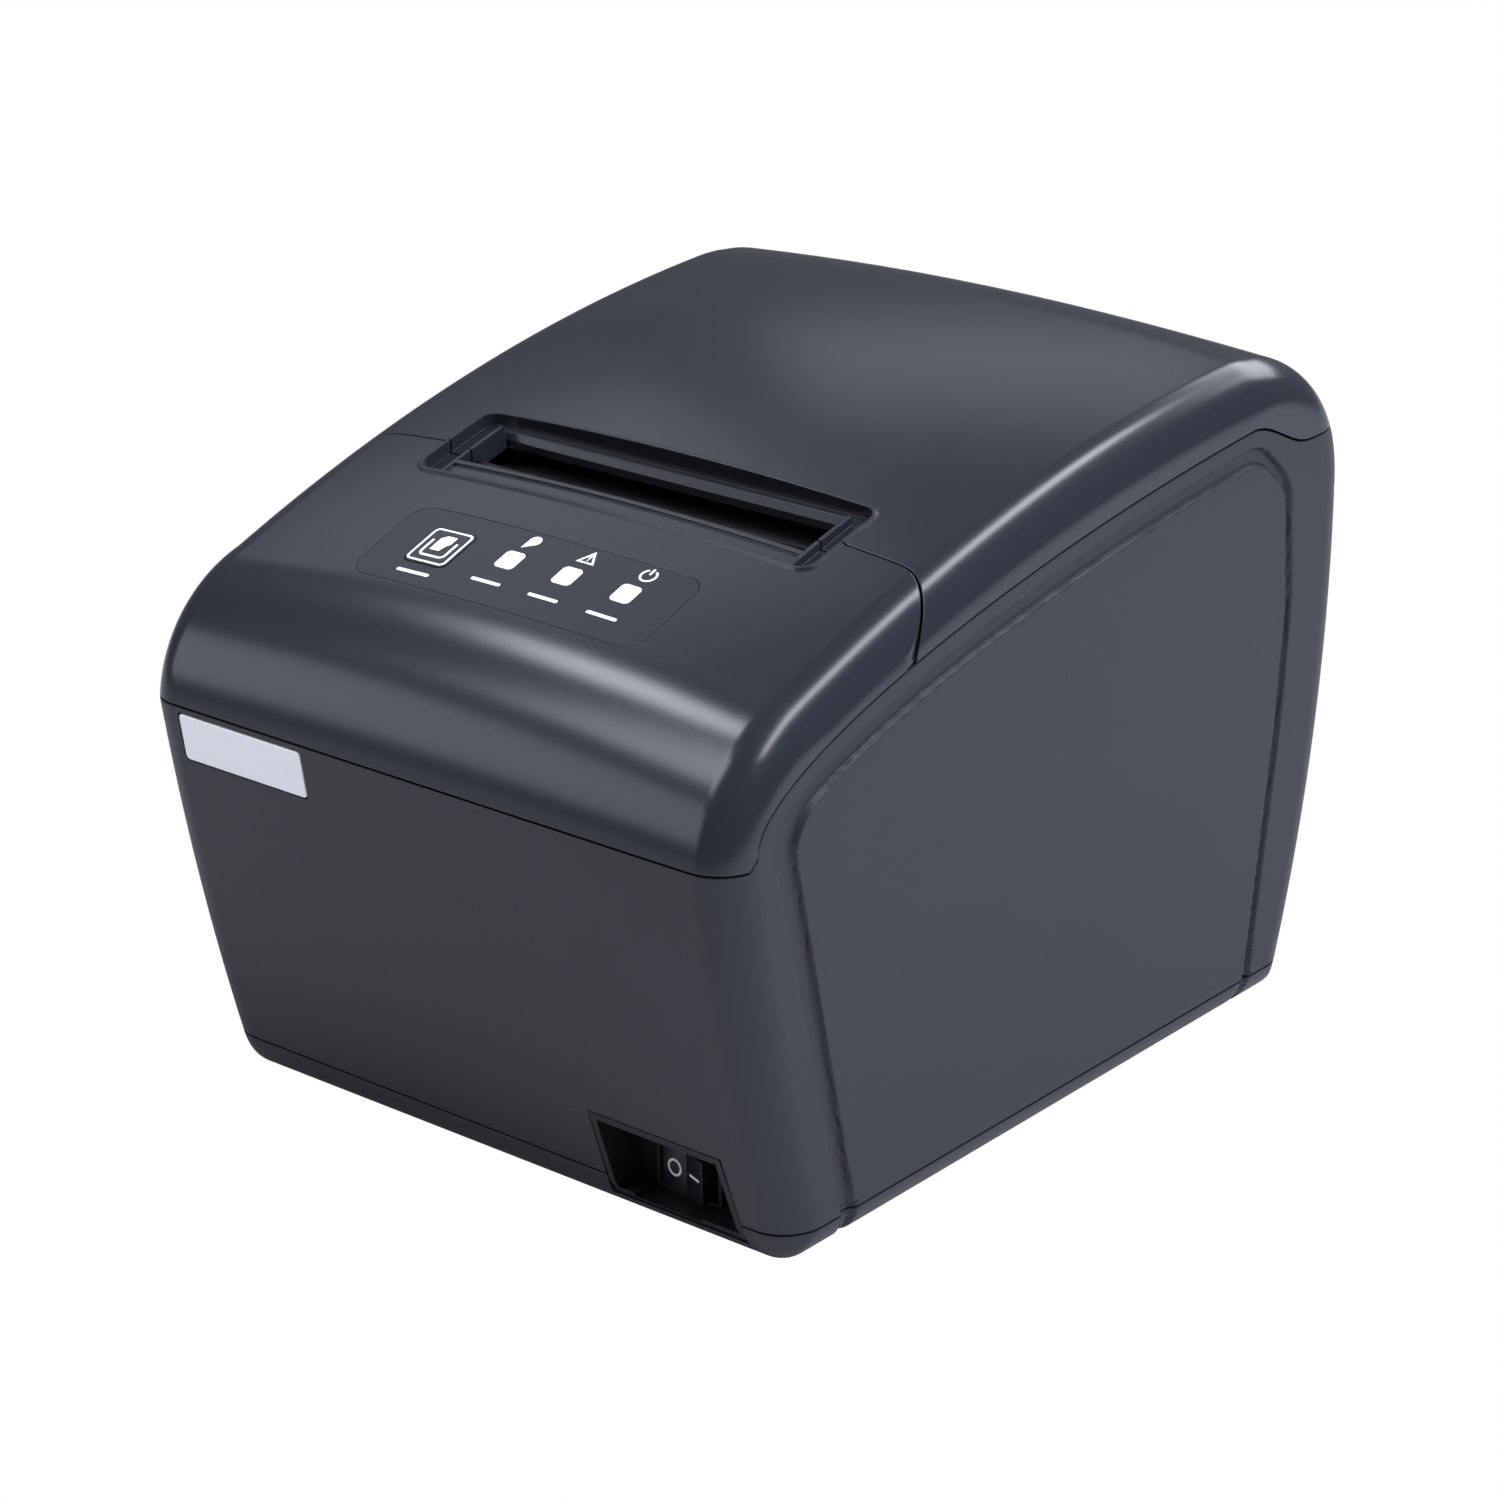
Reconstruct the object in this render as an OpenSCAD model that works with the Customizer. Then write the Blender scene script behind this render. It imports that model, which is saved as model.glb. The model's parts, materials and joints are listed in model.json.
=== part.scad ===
// Countertop thermal receipt printer for 80 mm paper, with a clamshell lid and an automatic cutter.
// Origin: middle of the footprint at the bottom of the feet. +X right, -Y front, +Z up. Millimetres.

/* [Case] */
// Overall width of the case
body_w = 145; // [140:1:155]
// Overall depth of the case, from the widest point of the front to that of the rear
body_d = 188.8; // [184:0.5:200]
// Overall height on its feet
body_h = 138.5; // [136:0.5:146]
// Gap between the base and the table
foot_gap = 2; // [1:0.25:3]
// Wall of the moulded covers
wall = 2.5; // [2:0.1:3]
// Height of the base tray's rim
base_rim = 7.2; // [6:0.2:9]
// How far the front face leans back from the belt down to the base
front_lean = 17.2; // [14:0.2:18]
// Radius of the rounded brow above the belt
brow_r = 34.5; // [30:0.5:36]
// Radius of the crest where the lid turns down at the rear
crest_r = 31.9; // [30:0.1:34]
// Radius of the bowed rear face
rear_r = 300; // [280:5:400]
// Fillet between the top and the sides
edge_r = 8.6; // [7:0.1:9]
// Crown radius of the lid across its width
crown_r = 658; // [600:10:1200]
// Parting gap between two covers
part_gap = 0.3; // [0.3:0.05:0.5]

/* [Paper path] */
// Width of the paper roll
paper_w = 79.5; // [57:0.5:80]
// Gap between the feed motor and the bucket, which sets the largest roll
motor_room = 5.6; // [3:0.1:12]
// Distance from the case's front to the split between front cover and lid
split_in = 60.8; // [60:0.1:62]
// Length of the recess around the paper slot
slot_w = 96; // [94:1:98]
// Radius of the rubber platen
platen_r = 6; // [5.5:0.1:6.5]
// Radius of the platen's steel shaft
shaft_r = 3; // [2.5:0.1:3.5]

/* [Hinge] */
// Radius of the lid's hinge barrel
barrel_r = 6.9; // [6:0.1:7]
// Radius of the hinge shaft
hinge_r = 2; // [1.5:0.1:2.5]
// Distance from the case's side to the end of the hinge barrel
barrel_inset = 12.5; // [11.5:0.5:18]

/* [Drive] */
// Tooth module of the feed and cutter gears
gear_m = 0.75; // [0.7:0.01:0.78]
// Width of a gear
gear_w = 5; // [4:0.5:6]
// Radius of the feed motor
motor_r = 15; // [12:0.5:16]
// Radius of the cutter motor
cutter_motor_r = 7; // [5:0.5:7]

/* [Controls] */
// Side of the feed button
button_size = 10.4; // [9:0.2:11]
// Width of a status window
led_w = 4.6; // [4:0.1:5]
// Width of the power rocker
rocker_w = 13.4; // [12:0.2:14]
// Height of the power rocker
rocker_h = 8.6; // [8:0.1:9.5]
// Width of the badge plate on the front
badge_w = 32; // [24:0.5:36]
// Radius of a rubber foot
foot_r = 6; // [5:0.5:7]

/* [Hidden] */
// Running clearance of a shaft in its bore, and the gap left around seated pieces
run_gap = 0.05;
seat_gap = 0.3;

// ---- Side outline: tangent arcs, each point is [y, z, heading] -------------------------------------
a_brow = 84;
a_top = 20.3;
a_crest = 2;
a_rear = -90;
bottom_r = 4.3;
front_bow = 1.5;
half_w = body_w / 2;
front_y = -body_d / 2;
split_y = front_y + split_in;
top_r = (body_d - brow_r * (sin(a_brow) - sin(a_top)) - crest_r * (sin(a_crest) + 1))
        / (sin(a_top) - sin(a_crest));
belt_z = body_h - brow_r * (cos(a_top) - cos(a_brow)) - top_r * (cos(a_crest) - cos(a_top))
         - crest_r * (1 - cos(a_crest));
brow_c = [front_y + brow_r * sin(a_brow), belt_z - brow_r * cos(a_brow)];
top_c = brow_c + [(top_r - brow_r) * sin(a_top), -(top_r - brow_r) * cos(a_top)];
crest_c = top_c + [(crest_r - top_r) * sin(a_crest), -(crest_r - top_r) * cos(a_crest)];
rear_c = [crest_c.x + crest_r - rear_r, crest_c.y];
rear_drop = asin((rear_c.y - foot_gap) / rear_r);
front_c0 = [front_y + front_lean, foot_gap];
front_c1 = [front_y, belt_z];
front_len = norm(front_c1 - front_c0);
front_r = front_len * front_len / (8 * front_bow);
front_half = asin(front_len / 2 / front_r);
front_mid = atan2(belt_z - foot_gap, -front_lean);
front_c = (front_c0 + front_c1) / 2
          + [sin(front_mid), -cos(front_mid)] * front_r * cos(front_half);
base_z = foot_gap;
rim_z = foot_gap + base_rim;

function on_arc(c, r, a) = [c.x - r * sin(a), c.y + r * cos(a), a];
function arc(c, r, a0, a1, n) = [for (i = [0:n]) on_arc(c, r, a0 + (a1 - a0) * i / n)];

// The closed outline, clockwise from the foot of the front face.
function outline() =
    let (f0 = front_mid + front_half, f1 = front_mid - front_half, r1 = -90 - rear_drop)
    let (front_foot = on_arc(front_c, front_r, f0 - 1.5 * (f0 - f1) * bottom_r / front_len),
         rear_foot = on_arc(rear_c, rear_r, r1 + rear_drop * 1.5 * bottom_r / (rear_c.y - base_z)))
    concat(
        arc(front_c, front_r, front_foot.z, f1, 5),
        arc(brow_c, brow_r, a_brow, a_top, 10),
        [for (i = [1:9]) on_arc(top_c, top_r, a_top + (a_crest - a_top) * i / 9)],
        [for (i = [1:10]) on_arc(crest_c, crest_r, a_crest + (a_rear - a_crest) * i / 10)],
        [for (i = [1:5]) on_arc(rear_c, rear_r, a_rear + (rear_foot.z - a_rear) * i / 5)],
        [[rear_foot.x - bottom_r * 0.6, base_z + bottom_r * 0.3, -135],
         [rear_foot.x - bottom_r * 1.4, base_z, -180],
         [front_foot.x + bottom_r * 1.4, base_z, -180],
         [front_foot.x + bottom_r * 0.6, base_z + bottom_r * 0.3, -225]]);
OUTLINE = outline();

// Share of the crown that a point takes: all of it on the top, none on the front, rear and base.
function crown_share(a) =
    min(max((a_brow - a) / (a_brow - a_top), 0), 1) * min(max((a + 70) / 60, 0), 1);
// The outline moved in by inset at a given distance from the middle, crowned on top.
function ring(x, inset) = [for (p = OUTLINE)
    [x, p.x + sin(p.z) * inset,
        p.y - cos(p.z) * inset - (p.z > -140 ? crown_share(p.z) : 0) * x * x / 2 / crown_r]];
// How far a ring at x lies in, for a side fillet of radius r at half width h.
function fillet_in(x, h, r) = x <= h - r ? 0 : r - sqrt(max(r * r - pow(x - h + r, 2), 0));

// Solid of the whole case set in by inset, lofted across X ring by ring.
module case_form(inset, steps = 5) {
    h = half_w - inset;
    r = edge_r - inset;
    xs = concat([0, (h - r) / 2], [for (i = [0:steps]) h - r + r * sin(90 * i / steps)]);
    for (s = [-1, 1], i = [0:len(xs) - 2]) {
        a = ring(s * xs[i], inset + fillet_in(xs[i], h, r));
        b = ring(s * xs[i + 1], inset + fillet_in(xs[i + 1], h, r));
        hull() polyhedron(points = concat(a, b),
            faces = [[for (k = [0:len(a) - 1]) k], [for (k = [0:len(a) - 1]) len(a) + k]]);
    }
}
module case_shell() {
    difference() {
        case_form(0);
        case_form(wall, 3);
    }
}
// Extrudes a Y-Z outline along X.
module across(x0, x1) {
    translate([x0, 0, 0]) rotate([90, 0, 90]) linear_extrude(x1 - x0) children();
}
module rod(r, x0, x1, at) {
    translate([x0, at.x, at.y]) rotate([0, 90, 0]) cylinder(r = r, h = x1 - x0, $fn = 48);
}
module block(lo, hi) {
    translate(lo) cube(hi - lo);
}
// Height of the outer top surface over the middle of the case.
function top_z(y) = top_c.y + sqrt(top_r * top_r - pow(y - top_c.x, 2));
function crown(x) = x * x / 2 / crown_r;
function rear_y(z) = rear_c.x + sqrt(rear_r * rear_r - pow(z - rear_c.y, 2));
function front_face_y(z) = front_c.x - sqrt(front_r * front_r - pow(z - front_c.y, 2));

// ---- Parting line of the side walls: a Bezier up the front and along the top, then a dip to the hinge
hinge = [crest_c.x + crest_r - 8.2, crest_c.y + 3.9];
barrel_len = body_w - 2 * barrel_inset;
ear_top = hinge.y + barrel_r;
part_start = [front_y + 8.2, belt_z + 2.6];
part_end = [crest_c.x - 2.5, crest_c.y + 17.3];
part_c1 = part_start + [-1.4, 15.7];
part_c2 = part_end + [-71.8, -5.3];
dip_end = [hinge.x - barrel_r + 0.5, ear_top];
function bezier(t) = pow(1 - t, 3) * part_start + 3 * t * pow(1 - t, 2) * part_c1
                     + 3 * t * t * (1 - t) * part_c2 + t * t * t * part_end;
PARTING = concat(
    [part_start + [-2, -2.2]],
    [for (i = [0:12]) bezier(pow(i / 12, 1.3))],
    [for (i = [1:5]) [part_end.x + (dip_end.x - part_end.x) * i / 5,
                      part_end.y + (dip_end.y - part_end.y) * (1 - cos(180 * i / 5)) / 2]],
    [[hinge.x, ear_top]]);
far = body_d;
seat_angle = -60;
skirt_angle = 15;
function around_hinge(r, a) = hinge + r * [cos(a), sin(a)];
// Side view of the housing, up to the parting line and the seat under the hinge barrel.
module housing_region() {
    polygon(concat([[-far, rim_z + part_gap / 2], [-far, belt_z - part_gap / 2]],
        [for (p = PARTING) p - [0, part_gap / 2]],
        [for (i = [1:7]) around_hinge(barrel_r, 90 + (seat_angle - 90) * i / 7)],
        [around_hinge(far, seat_angle), [far, rim_z + part_gap / 2]]));
}
// Side view of the upper covers, down to the parting line and the top of the hinge barrel.
module cover_region() {
    polygon(concat([[-far, far], [-far, belt_z + part_gap / 2]],
        [for (p = PARTING) p + [0, part_gap / 2]],
        [for (i = [0:5]) around_hinge(barrel_r + seat_gap, 90 + (skirt_angle - 90) * i / 5)],
        [around_hinge(far, skirt_angle), [far, far]]));
}
// Plan of the front cover: a straight rear edge with rounded corners.
corner_r = 12;
module front_plan(grow) {
    offset(delta = grow) difference() {
        translate([-half_w, front_y - 5]) square([body_w, split_y - front_y + 5]);
        for (s = [-1, 1]) scale([s, 1]) difference() {
            translate([half_w - corner_r, split_y - corner_r]) square(corner_r + 1);
            translate([half_w - corner_r, split_y - corner_r]) circle(r = corner_r, $fn = 48);
        }
    }
}
module front_column(grow) {
    linear_extrude(body_h + 10) front_plan(grow);
}

// ---- Paper slot ----------------------------------------------------------------------------------
slot_front = split_y - 9.9;
slot_rear = split_y + 10.5;
throat_front = split_y;
throat_rear = split_y + 8.2;
throat_half = paper_w / 2 + 2.8;
slot_depth = 5;
shelf_depth = 2.2;
skin = 2;
slot_z = top_z(split_y);
slot_tilt = atan((top_z(slot_rear) - top_z(slot_front)) / (slot_rear - slot_front));
// Places children in the tilted plane of the slot's rim, its origin at the middle of the split.
module on_slot() {
    translate([0, split_y, slot_z]) rotate([slot_tilt, 0, 0]) children();
}
function tilt_len(y) = (y - split_y) / cos(slot_tilt);
// Recess around the slot, down to the shelves at both ends.
module slot_recess() {
    on_slot() translate([-slot_w / 2, tilt_len(slot_front), -shelf_depth - crown(slot_w / 2)])
        linear_extrude(20) offset(r = 3, $fn = 24) offset(delta = -3)
            square([slot_w, tilt_len(slot_rear) - tilt_len(slot_front)]);
}
// Solid under the recess between two places along the paper's way, for the lips to be cut from.
module slot_block(y0, y1) {
    intersection() {
        case_form(wall / 2, 3);
        on_slot() block([-slot_w / 2 - skin, tilt_len(y0), -slot_depth - skin],
                        [slot_w / 2 + skin, tilt_len(y1), 10]);
    }
}
lip_front_y = throat_front - 1.75;
ramp_top = 2;
// Opens the recess to the throat: from a ramp's top edge at y0 down to the lip at y1.
module throat_cut(y0, d0, y1, d1) {
    way = sign(y1 - y0) * 30;
    on_slot() across(-throat_half, throat_half) polygon([
        [tilt_len(y0), 10], [tilt_len(y0), -d0], [tilt_len(y1), -d1],
        [tilt_len(y1), -20], [tilt_len(y1) + way, -20], [tilt_len(y1) + way, 10]]);
}

// ---- Side channel: a shallow groove that follows the parting line ----------------------------------
channel_depth = 1.1;
function under(p, d, lean) = [p.x + lean * d, p.y - d];
module channel_outline(d, shift, first) {
    polygon(concat([[front_y + 32.2 + shift, base_z - 1], [front_y + 12.1 + shift * 1.6, belt_z + 1.5]],
        [for (i = [first:13]) under(PARTING[i], d, 0.35)],
        [[crest_c.x + 2.5, crest_c.y + 15.4 - d], [crest_c.x + 12.3 - d * 0.5, crest_c.y + 5.2 - d * 0.4],
         [crest_c.x + 13.8 - d * 0.6, crest_c.y - 22], [crest_c.x + 10.9 - d * 0.6, crest_c.y - 47],
         [crest_c.x - 0.5 - d * 0.5, base_z - 1]]));
}
module side_channels() {
    for (s = [-1, 1]) scale([s, 1, 1]) across(half_w - channel_depth, half_w + 1) difference() {
        channel_outline(2.9, 0, 3);
        channel_outline(6.9, 3.6, 5);
    }
}

// ---- Front face features ---------------------------------------------------------------------------
// Places children on the front face between two heights: x right, y up the face, z outwards.
module on_front(x, z0, z1) {
    lean = atan2(z1 - z0, front_face_y(z1) - front_face_y(z0));
    translate([x, front_face_y(z0), z0]) rotate([lean, 0, 0]) children();
}
switch_x = half_w - 28.3;
pocket_lo = [switch_x - 14.8, 6.6];
pocket_hi = [switch_x + 14.6, 21.8];
pocket_y = front_face_y(pocket_lo.y) + 7.5;
rocker_c = [switch_x - 2, pocket_y, foot_gap + 9.2];
bezel_wall = 1.4;
// Front view of the switch pocket, narrower at its top.
module pocket_outline(grow) {
    offset(delta = grow) polygon([[pocket_lo.x + 1, pocket_lo.y], [pocket_hi.x + 0.8, pocket_lo.y],
        [pocket_hi.x - 1, pocket_hi.y], [pocket_lo.x, pocket_hi.y]]);
}
module pocket_prism(grow, y0, y1) {
    translate([0, y1, 0]) rotate([90, 0, 0]) linear_extrude(y1 - y0) pocket_outline(grow);
}
badge_x = -half_w + 10.1;
badge_h = 9.6;
badge_t = 0.9;

// ---- Rear connector panel --------------------------------------------------------------------------
io_half = 50;
io_recess = 5.65;
io_y = rear_y(rim_z) - io_recess;
io_t = 1.5;
io_top = base_z + 38;
board_z = base_z + 7.8;
board_t = 1.6;
// Each socket: middle x, width, height, mouth width, mouth height.
SOCKETS = [[-41, 14, 13, 9.4, 9.4], [-23.5, 13.6, 13.4, 9.8, 8], [-4.5, 16, 13.6, 11.8, 8.6],
           [13.5, 12, 11, 8.4, 7.8], [35.5, 31, 12.6, 17, 8.4]];
socket_len = 15.5;
mouth_depth = 10;
socket_z = board_z + board_t;

// ---- Mechanism -------------------------------------------------------------------------------------
paper_y = split_y + 2.8;
platen_drop = 17.876;
platen = [paper_y + 0.4 + platen_r, slot_z - platen_drop];
side_x = 47;
plate_t = 1.2;
arm_x = 43.6;
arm_t = 2.6;
arm_rim = 2.2;
bush_r = shaft_r + 2;
gear_x = -side_x - plate_t - 2 - gear_w;
n_platen = 22;
n_idler = 34;
n_pinion = 12;
function pitch_r(n) = gear_m * n / 2;
idler = platen - [0, pitch_r(n_platen) + pitch_r(n_idler)];
pinion_dir = 233;
pinion = idler + (pitch_r(n_idler) + pitch_r(n_pinion)) * [cos(pinion_dir), sin(pinion_dir)];
idler_phase = 90 + 180 / n_idler;
// Tooth angle of a gear of nb teeth that meshes with one of na teeth at phase, lying in direction dir.
function mesh_phase(phase, na, dir, nb) =
    let (off = (phase - dir) - round((phase - dir) * na / 360) * 360 / na)
    dir + 180 - off * na / nb + 180 / nb;

function inv(a) = tan(a) * 180 / PI - a;
backlash = 0.16;
function half_tooth(n, r) =
    let (rb = pitch_r(n) * cos(20), q = max(r, rb))
    90 / n * (1 - backlash) + inv(20) - inv(acos(rb / q));
// Spur gear outline with involute flanks, a tooth centred on the angle phase.
module gear_outline(n, phase) {
    rp = pitch_r(n);
    rs = [rp - 1.2 * gear_m, max(rp * cos(20), rp - 0.9 * gear_m), rp,
          rp + 0.5 * gear_m, rp + 0.9 * gear_m];
    polygon([for (i = [0:n - 1]) let (c = phase + 360 * i / n) each concat(
        [for (r = rs) r * [cos(c - half_tooth(n, r)), sin(c - half_tooth(n, r))]],
        [for (k = [4:-1:0]) rs[k] * [cos(c + half_tooth(n, rs[k])), sin(c + half_tooth(n, rs[k]))]])]);
}
module gear(n, phase, x0, at, bore) {
    difference() {
        across(x0, x0 + gear_w) translate(at) gear_outline(n, phase);
        rod(bore, x0 - 1, x0 + gear_w + 1, at);
    }
}

// Print head, hinged at its foot and pressed towards the platen.
pin_r = 1.5;
press_fit = 0.3;
head_half = 40;
head_t = 1.2;
head_top = platen.y + 3.8;
head_pivot = [paper_y - 3.8, platen.y - 15];
sink_front = paper_y - 6.6;
cross_y = sink_front - 6;
spring_r = 2.2;
wire_t = 0.6;
spring_x = 24;
spring_tab = 4;
spring_lo = head_pivot.y - 1;
spring_hi = head_pivot.y + 6;
spring_y = sink_front - 2.8;

// Cutter: a fixed blade under the lid's lip, a moving blade with a rack under it.
blade_t = 0.8;
moving_z = platen.y + platen_r + 0.6;
fixed_z = moving_z + blade_t + 0.6;
cutter_plate_z = moving_z - 0.3 - plate_t;
blade_rest_y = paper_y - 1.8;
blade_len = 13;
blade_travel = 6.6;
rack_h = 2;
cut_n = 14;
cutter_shaft_r = 1;
cut_gear = [blade_rest_y - blade_len - 1, moving_z - rack_h - pitch_r(cut_n) + 1.2 * gear_m - 0.2];
cut_dir = 225;
cut_motor = cut_gear + (pitch_r(cut_n) + pitch_r(n_pinion)) * [cos(cut_dir), sin(cut_dir)];
cutter_front = blade_rest_y - blade_len - 3;
cut_x = 36;
rack_line = cut_gear.y + pitch_r(cut_n);
rack_pitch = PI * gear_m;

// Paper bucket under the lid.
bucket_t = 2.2;
bucket_front = pinion.x + motor_r + motor_room;
bucket_rear = crest_c.x + 11.7;
bucket_r = (bucket_rear - bucket_front) / 2 - bucket_t;
bucket = [(bucket_front + bucket_rear) / 2, foot_gap + 18 + bucket_r + bucket_t];
bucket_half = paper_w / 2 + 1.8;
guide_r = platen_r + 2.6;

module board_green() { color([0.1, 0.35, 0.2]) children(); }
module aluminium() { color([0.75, 0.76, 0.78]) children(); }
module ceramic() { color([0.3, 0.22, 0.16]) children(); }
module case_black() { color([0.17, 0.17, 0.18]) children(); }
module case_gloss() { color([0.22, 0.23, 0.26]) children(); }
module dark_plastic() { color([0.09, 0.09, 0.1]) children(); }
module steel() { color([0.72, 0.73, 0.75]) children(); }
module soft_rubber() { color([0.05, 0.05, 0.055]) children(); }
module white() { color([0.95, 0.95, 0.94]) children(); }
module brass() { color([0.8, 0.65, 0.3]) children(); }
module nylon() { color([0.86, 0.84, 0.78]) children(); }

screw_x = half_w - 15;
foot_x = screw_x - 3;
SCREWS = [[-screw_x, front_y + 40], [screw_x, front_y + 40],
          [-screw_x, crest_c.x - 14], [screw_x, crest_c.x - 14]];
FEET = [[-foot_x, front_y + 30.5], [foot_x, front_y + 30.5],
        [-foot_x, crest_c.x - 2], [foot_x, crest_c.x - 2]];
floor_t = wall;
screw_r = 1.4;
boss_r = 4;

module base_tray() {
    case_black() difference() {
        intersection() {
            case_form(0);
            block([-body_w, -far, -1], [body_w, far, rim_z - part_gap / 2]);
        }
        intersection() {
            case_form(wall, 3);
            block([-body_w, -far, base_z + floor_t], [body_w, far, rim_z + 1]);
        }
        for (p = FEET) translate([p.x, p.y, base_z - 1])
            cylinder(r = foot_r + seat_gap, h = 2.2, $fn = 40);
        for (p = SCREWS) translate([p.x, p.y, base_z - 1]) {
            cylinder(r = 3.4, h = 2.2, $fn = 32);
            cylinder(r = screw_r + seat_gap, h = 6, $fn = 32);
        }
        pocket_prism(bezel_wall + seat_gap, -far, pocket_y + 3);
        side_channels();
        for (i = [-4:4]) block([i * 8 - 1.5, -20, 0], [i * 8 + 1.5, 10, 8]);
    }
}
module foot(i) {
    soft_rubber() translate([FEET[i].x, FEET[i].y, 0]) cylinder(r = foot_r, h = base_z + 1.2, $fn = 48);
}
module base_screw(i) {
    steel() translate([SCREWS[i].x, SCREWS[i].y, base_z + 0.2]) {
        cylinder(r = 3, h = 1, $fn = 40);
        cylinder(r = screw_r, h = 11, $fn = 32);
    }
}
module main_housing() {
    case_black() difference() {
        union() {
            intersection() {
                case_shell();
                across(-body_w, body_w) housing_region();
            }
            for (p = SCREWS) intersection() {
                translate([p.x, p.y, base_z + floor_t + 0.4]) cylinder(r = boss_r, h = 13, $fn = 32);
                case_form(wall / 2, 3);
            }
            for (p = SCREWS) intersection() {
                block([min(p.x, sign(p.x) * half_w), p.y - 1, rim_z + 1],
                      [max(p.x, sign(p.x) * half_w), p.y + 1, base_z + floor_t + 13.4]);
                case_form(wall / 2, 3);
            }
        }
        for (p = SCREWS) translate([p.x, p.y, 0]) cylinder(r = screw_r + 0.15, h = base_z + 12.4, $fn = 32);
        rod(barrel_r + seat_gap, -ear_x - ear_w - seat_gap, ear_x + ear_w + seat_gap, hinge);
        across(-barrel_len / 2 - seat_gap, barrel_len / 2 + seat_gap) union() {
            translate(hinge) circle(r = barrel_r + 0.5, $fn = 48);
            polygon([around_hinge(0, 0), around_hinge(far, seat_angle), [far, far], [hinge.x, far]]);
        }
        pocket_prism(bezel_wall + seat_gap, -far, pocket_y + 3);
        block([-io_half - seat_gap, io_y - 1, 0], [io_half + seat_gap, far, io_top]);
        side_channels();
        badge_plate_form(seat_gap);
    }
}
module badge_plate_form(grow) {
    on_front(badge_x, belt_z - badge_h - 1, belt_z - 1) translate([-grow, -grow, -badge_t + 0.15 - grow])
        cube([badge_w + 2 * grow, badge_h + 2 * grow, badge_t + 2 * grow]);
}
module badge_plate() { white() badge_plate_form(0); }

button_at = [-22.6, 0.5];
led_x0 = -6.3;
led_step = 14;
led_up = 1.9;
panel_y = front_y + 30.6;
panel_z = top_z(panel_y);
panel_a = asin((top_c.x - panel_y) / top_r);
// Places children on the sloping panel of the front cover: x right, y up the slope, z outwards.
module on_panel() {
    translate([0, panel_y, panel_z]) rotate([panel_a, 0, 0]) children();
}
overlay_t = 0.35;
overlay_lo = [-36.5, -10.6];
overlay_hi = [33.8, 10.6];
function led_at(i) = [led_x0 + i * led_step, led_up];
module overlay_column(grow) {
    on_panel() translate([0, 0, -6]) linear_extrude(12) offset(delta = grow)
        offset(r = 4, $fn = 24) offset(delta = -4)
            translate(overlay_lo) square(overlay_hi - overlay_lo);
}
module window_outline(w, h, r, grow) {
    offset(r = r + grow, $fn = 24) square([w - 2 * r, h - 2 * r], center = true);
}
module panel_holes(grow) {
    on_panel() translate([0, 0, -10]) linear_extrude(20) {
        translate(button_at) window_outline(button_size, button_size, 0.6, grow);
        for (i = [0:2]) translate(led_at(i)) window_outline(led_w, led_w, 0.5, grow);
    }
}
board_gap = 7.2;
window_depth = 5.6;
plunger_top = 2.6;
plunger_r = 1.6;
plunger_len = 1.2;
key_x = [-34, 31];
key_half = 5;
key_post_r = 2.2;
// Posts under the cover that carry the key board.
module key_posts() {
    for (x = [key_x[0] + 2.5, key_x[1] - 2.5])
        on_panel() translate([x, 0, -board_gap]) cylinder(r = key_post_r, h = board_gap - 2, $fn = 32);
}
module front_cover() {
    case_gloss() difference() {
        intersection() {
            union() {
                case_shell();
                slot_block(slot_front - skin, split_y + 1);
                key_posts();
            }
            across(-body_w, body_w) cover_region();
            front_column(-part_gap / 2);
        }
        slot_recess();
        throat_cut(slot_front + 0.5, ramp_top, lip_front_y, slot_depth - 0.6);
        intersection() {
            overlay_column(0.12);
            difference() {
                case_form(-0.5, 2);
                case_form(overlay_t + 0.1, 2);
            }
        }
        panel_holes(seat_gap);
    }
}
module panel_overlay() {
    color([0.25, 0.27, 0.3]) difference() {
        intersection() {
            overlay_column(0);
            difference() {
                case_form(0.02, 2);
                case_form(overlay_t, 2);
            }
        }
        panel_holes(seat_gap);
    }
}
module tear_bar() {
    steel() on_slot() block([-throat_half + 1, -1.5, -slot_depth - 1.4],
                            [throat_half - 1, -0.7, -slot_depth + 0.7]);
}
module led_window(i) {
    white() on_panel() translate(concat(led_at(i), -window_depth))
        linear_extrude(window_depth + 0.1 - crown(led_at(i).x)) square(led_w, center = true);
}
button_top = 0.35;
button_depth = 3.2;
module feed_button() {
    case_gloss() on_panel() translate(concat(button_at, 0)) {
        translate([-button_size / 2, -button_size / 2, -button_depth])
            cube([button_size, button_size, button_depth + button_top - crown(button_at.x)]);
        translate([0, 0, plunger_top - board_gap])
            cylinder(r = plunger_r + 0.6, h = board_gap - plunger_top - button_depth + 1, $fn = 32);
    }
}
module button_plunger() {
    nylon() on_panel() translate(concat(button_at, plunger_top - plunger_len - board_gap))
        cylinder(r = plunger_r, h = plunger_len, $fn = 32);
}
tact_w = 6;
tact_h = 1.7;
module tact_switch() {
    steel() on_panel() translate(concat(button_at, -board_gap)) difference() {
        translate([-tact_w / 2, -tact_w / 2, 0]) cube([tact_w, tact_w, tact_h]);
        translate([0, 0, 0.5]) cylinder(r = plunger_r + seat_gap, h = 3, $fn = 32);
    }
}
module key_board() {
    board_green() on_panel() block([key_x[0], -key_half, -board_gap - board_t],
                                   [key_x[1], key_half, -board_gap]);
}
lamp_w = 3.2;
module panel_led(i) {
    nylon() on_panel() translate(concat(led_at(i), -board_gap - board_t / 2))
        linear_extrude(board_gap + board_t / 2 - window_depth) square(lamp_w, center = true);
}
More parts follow.
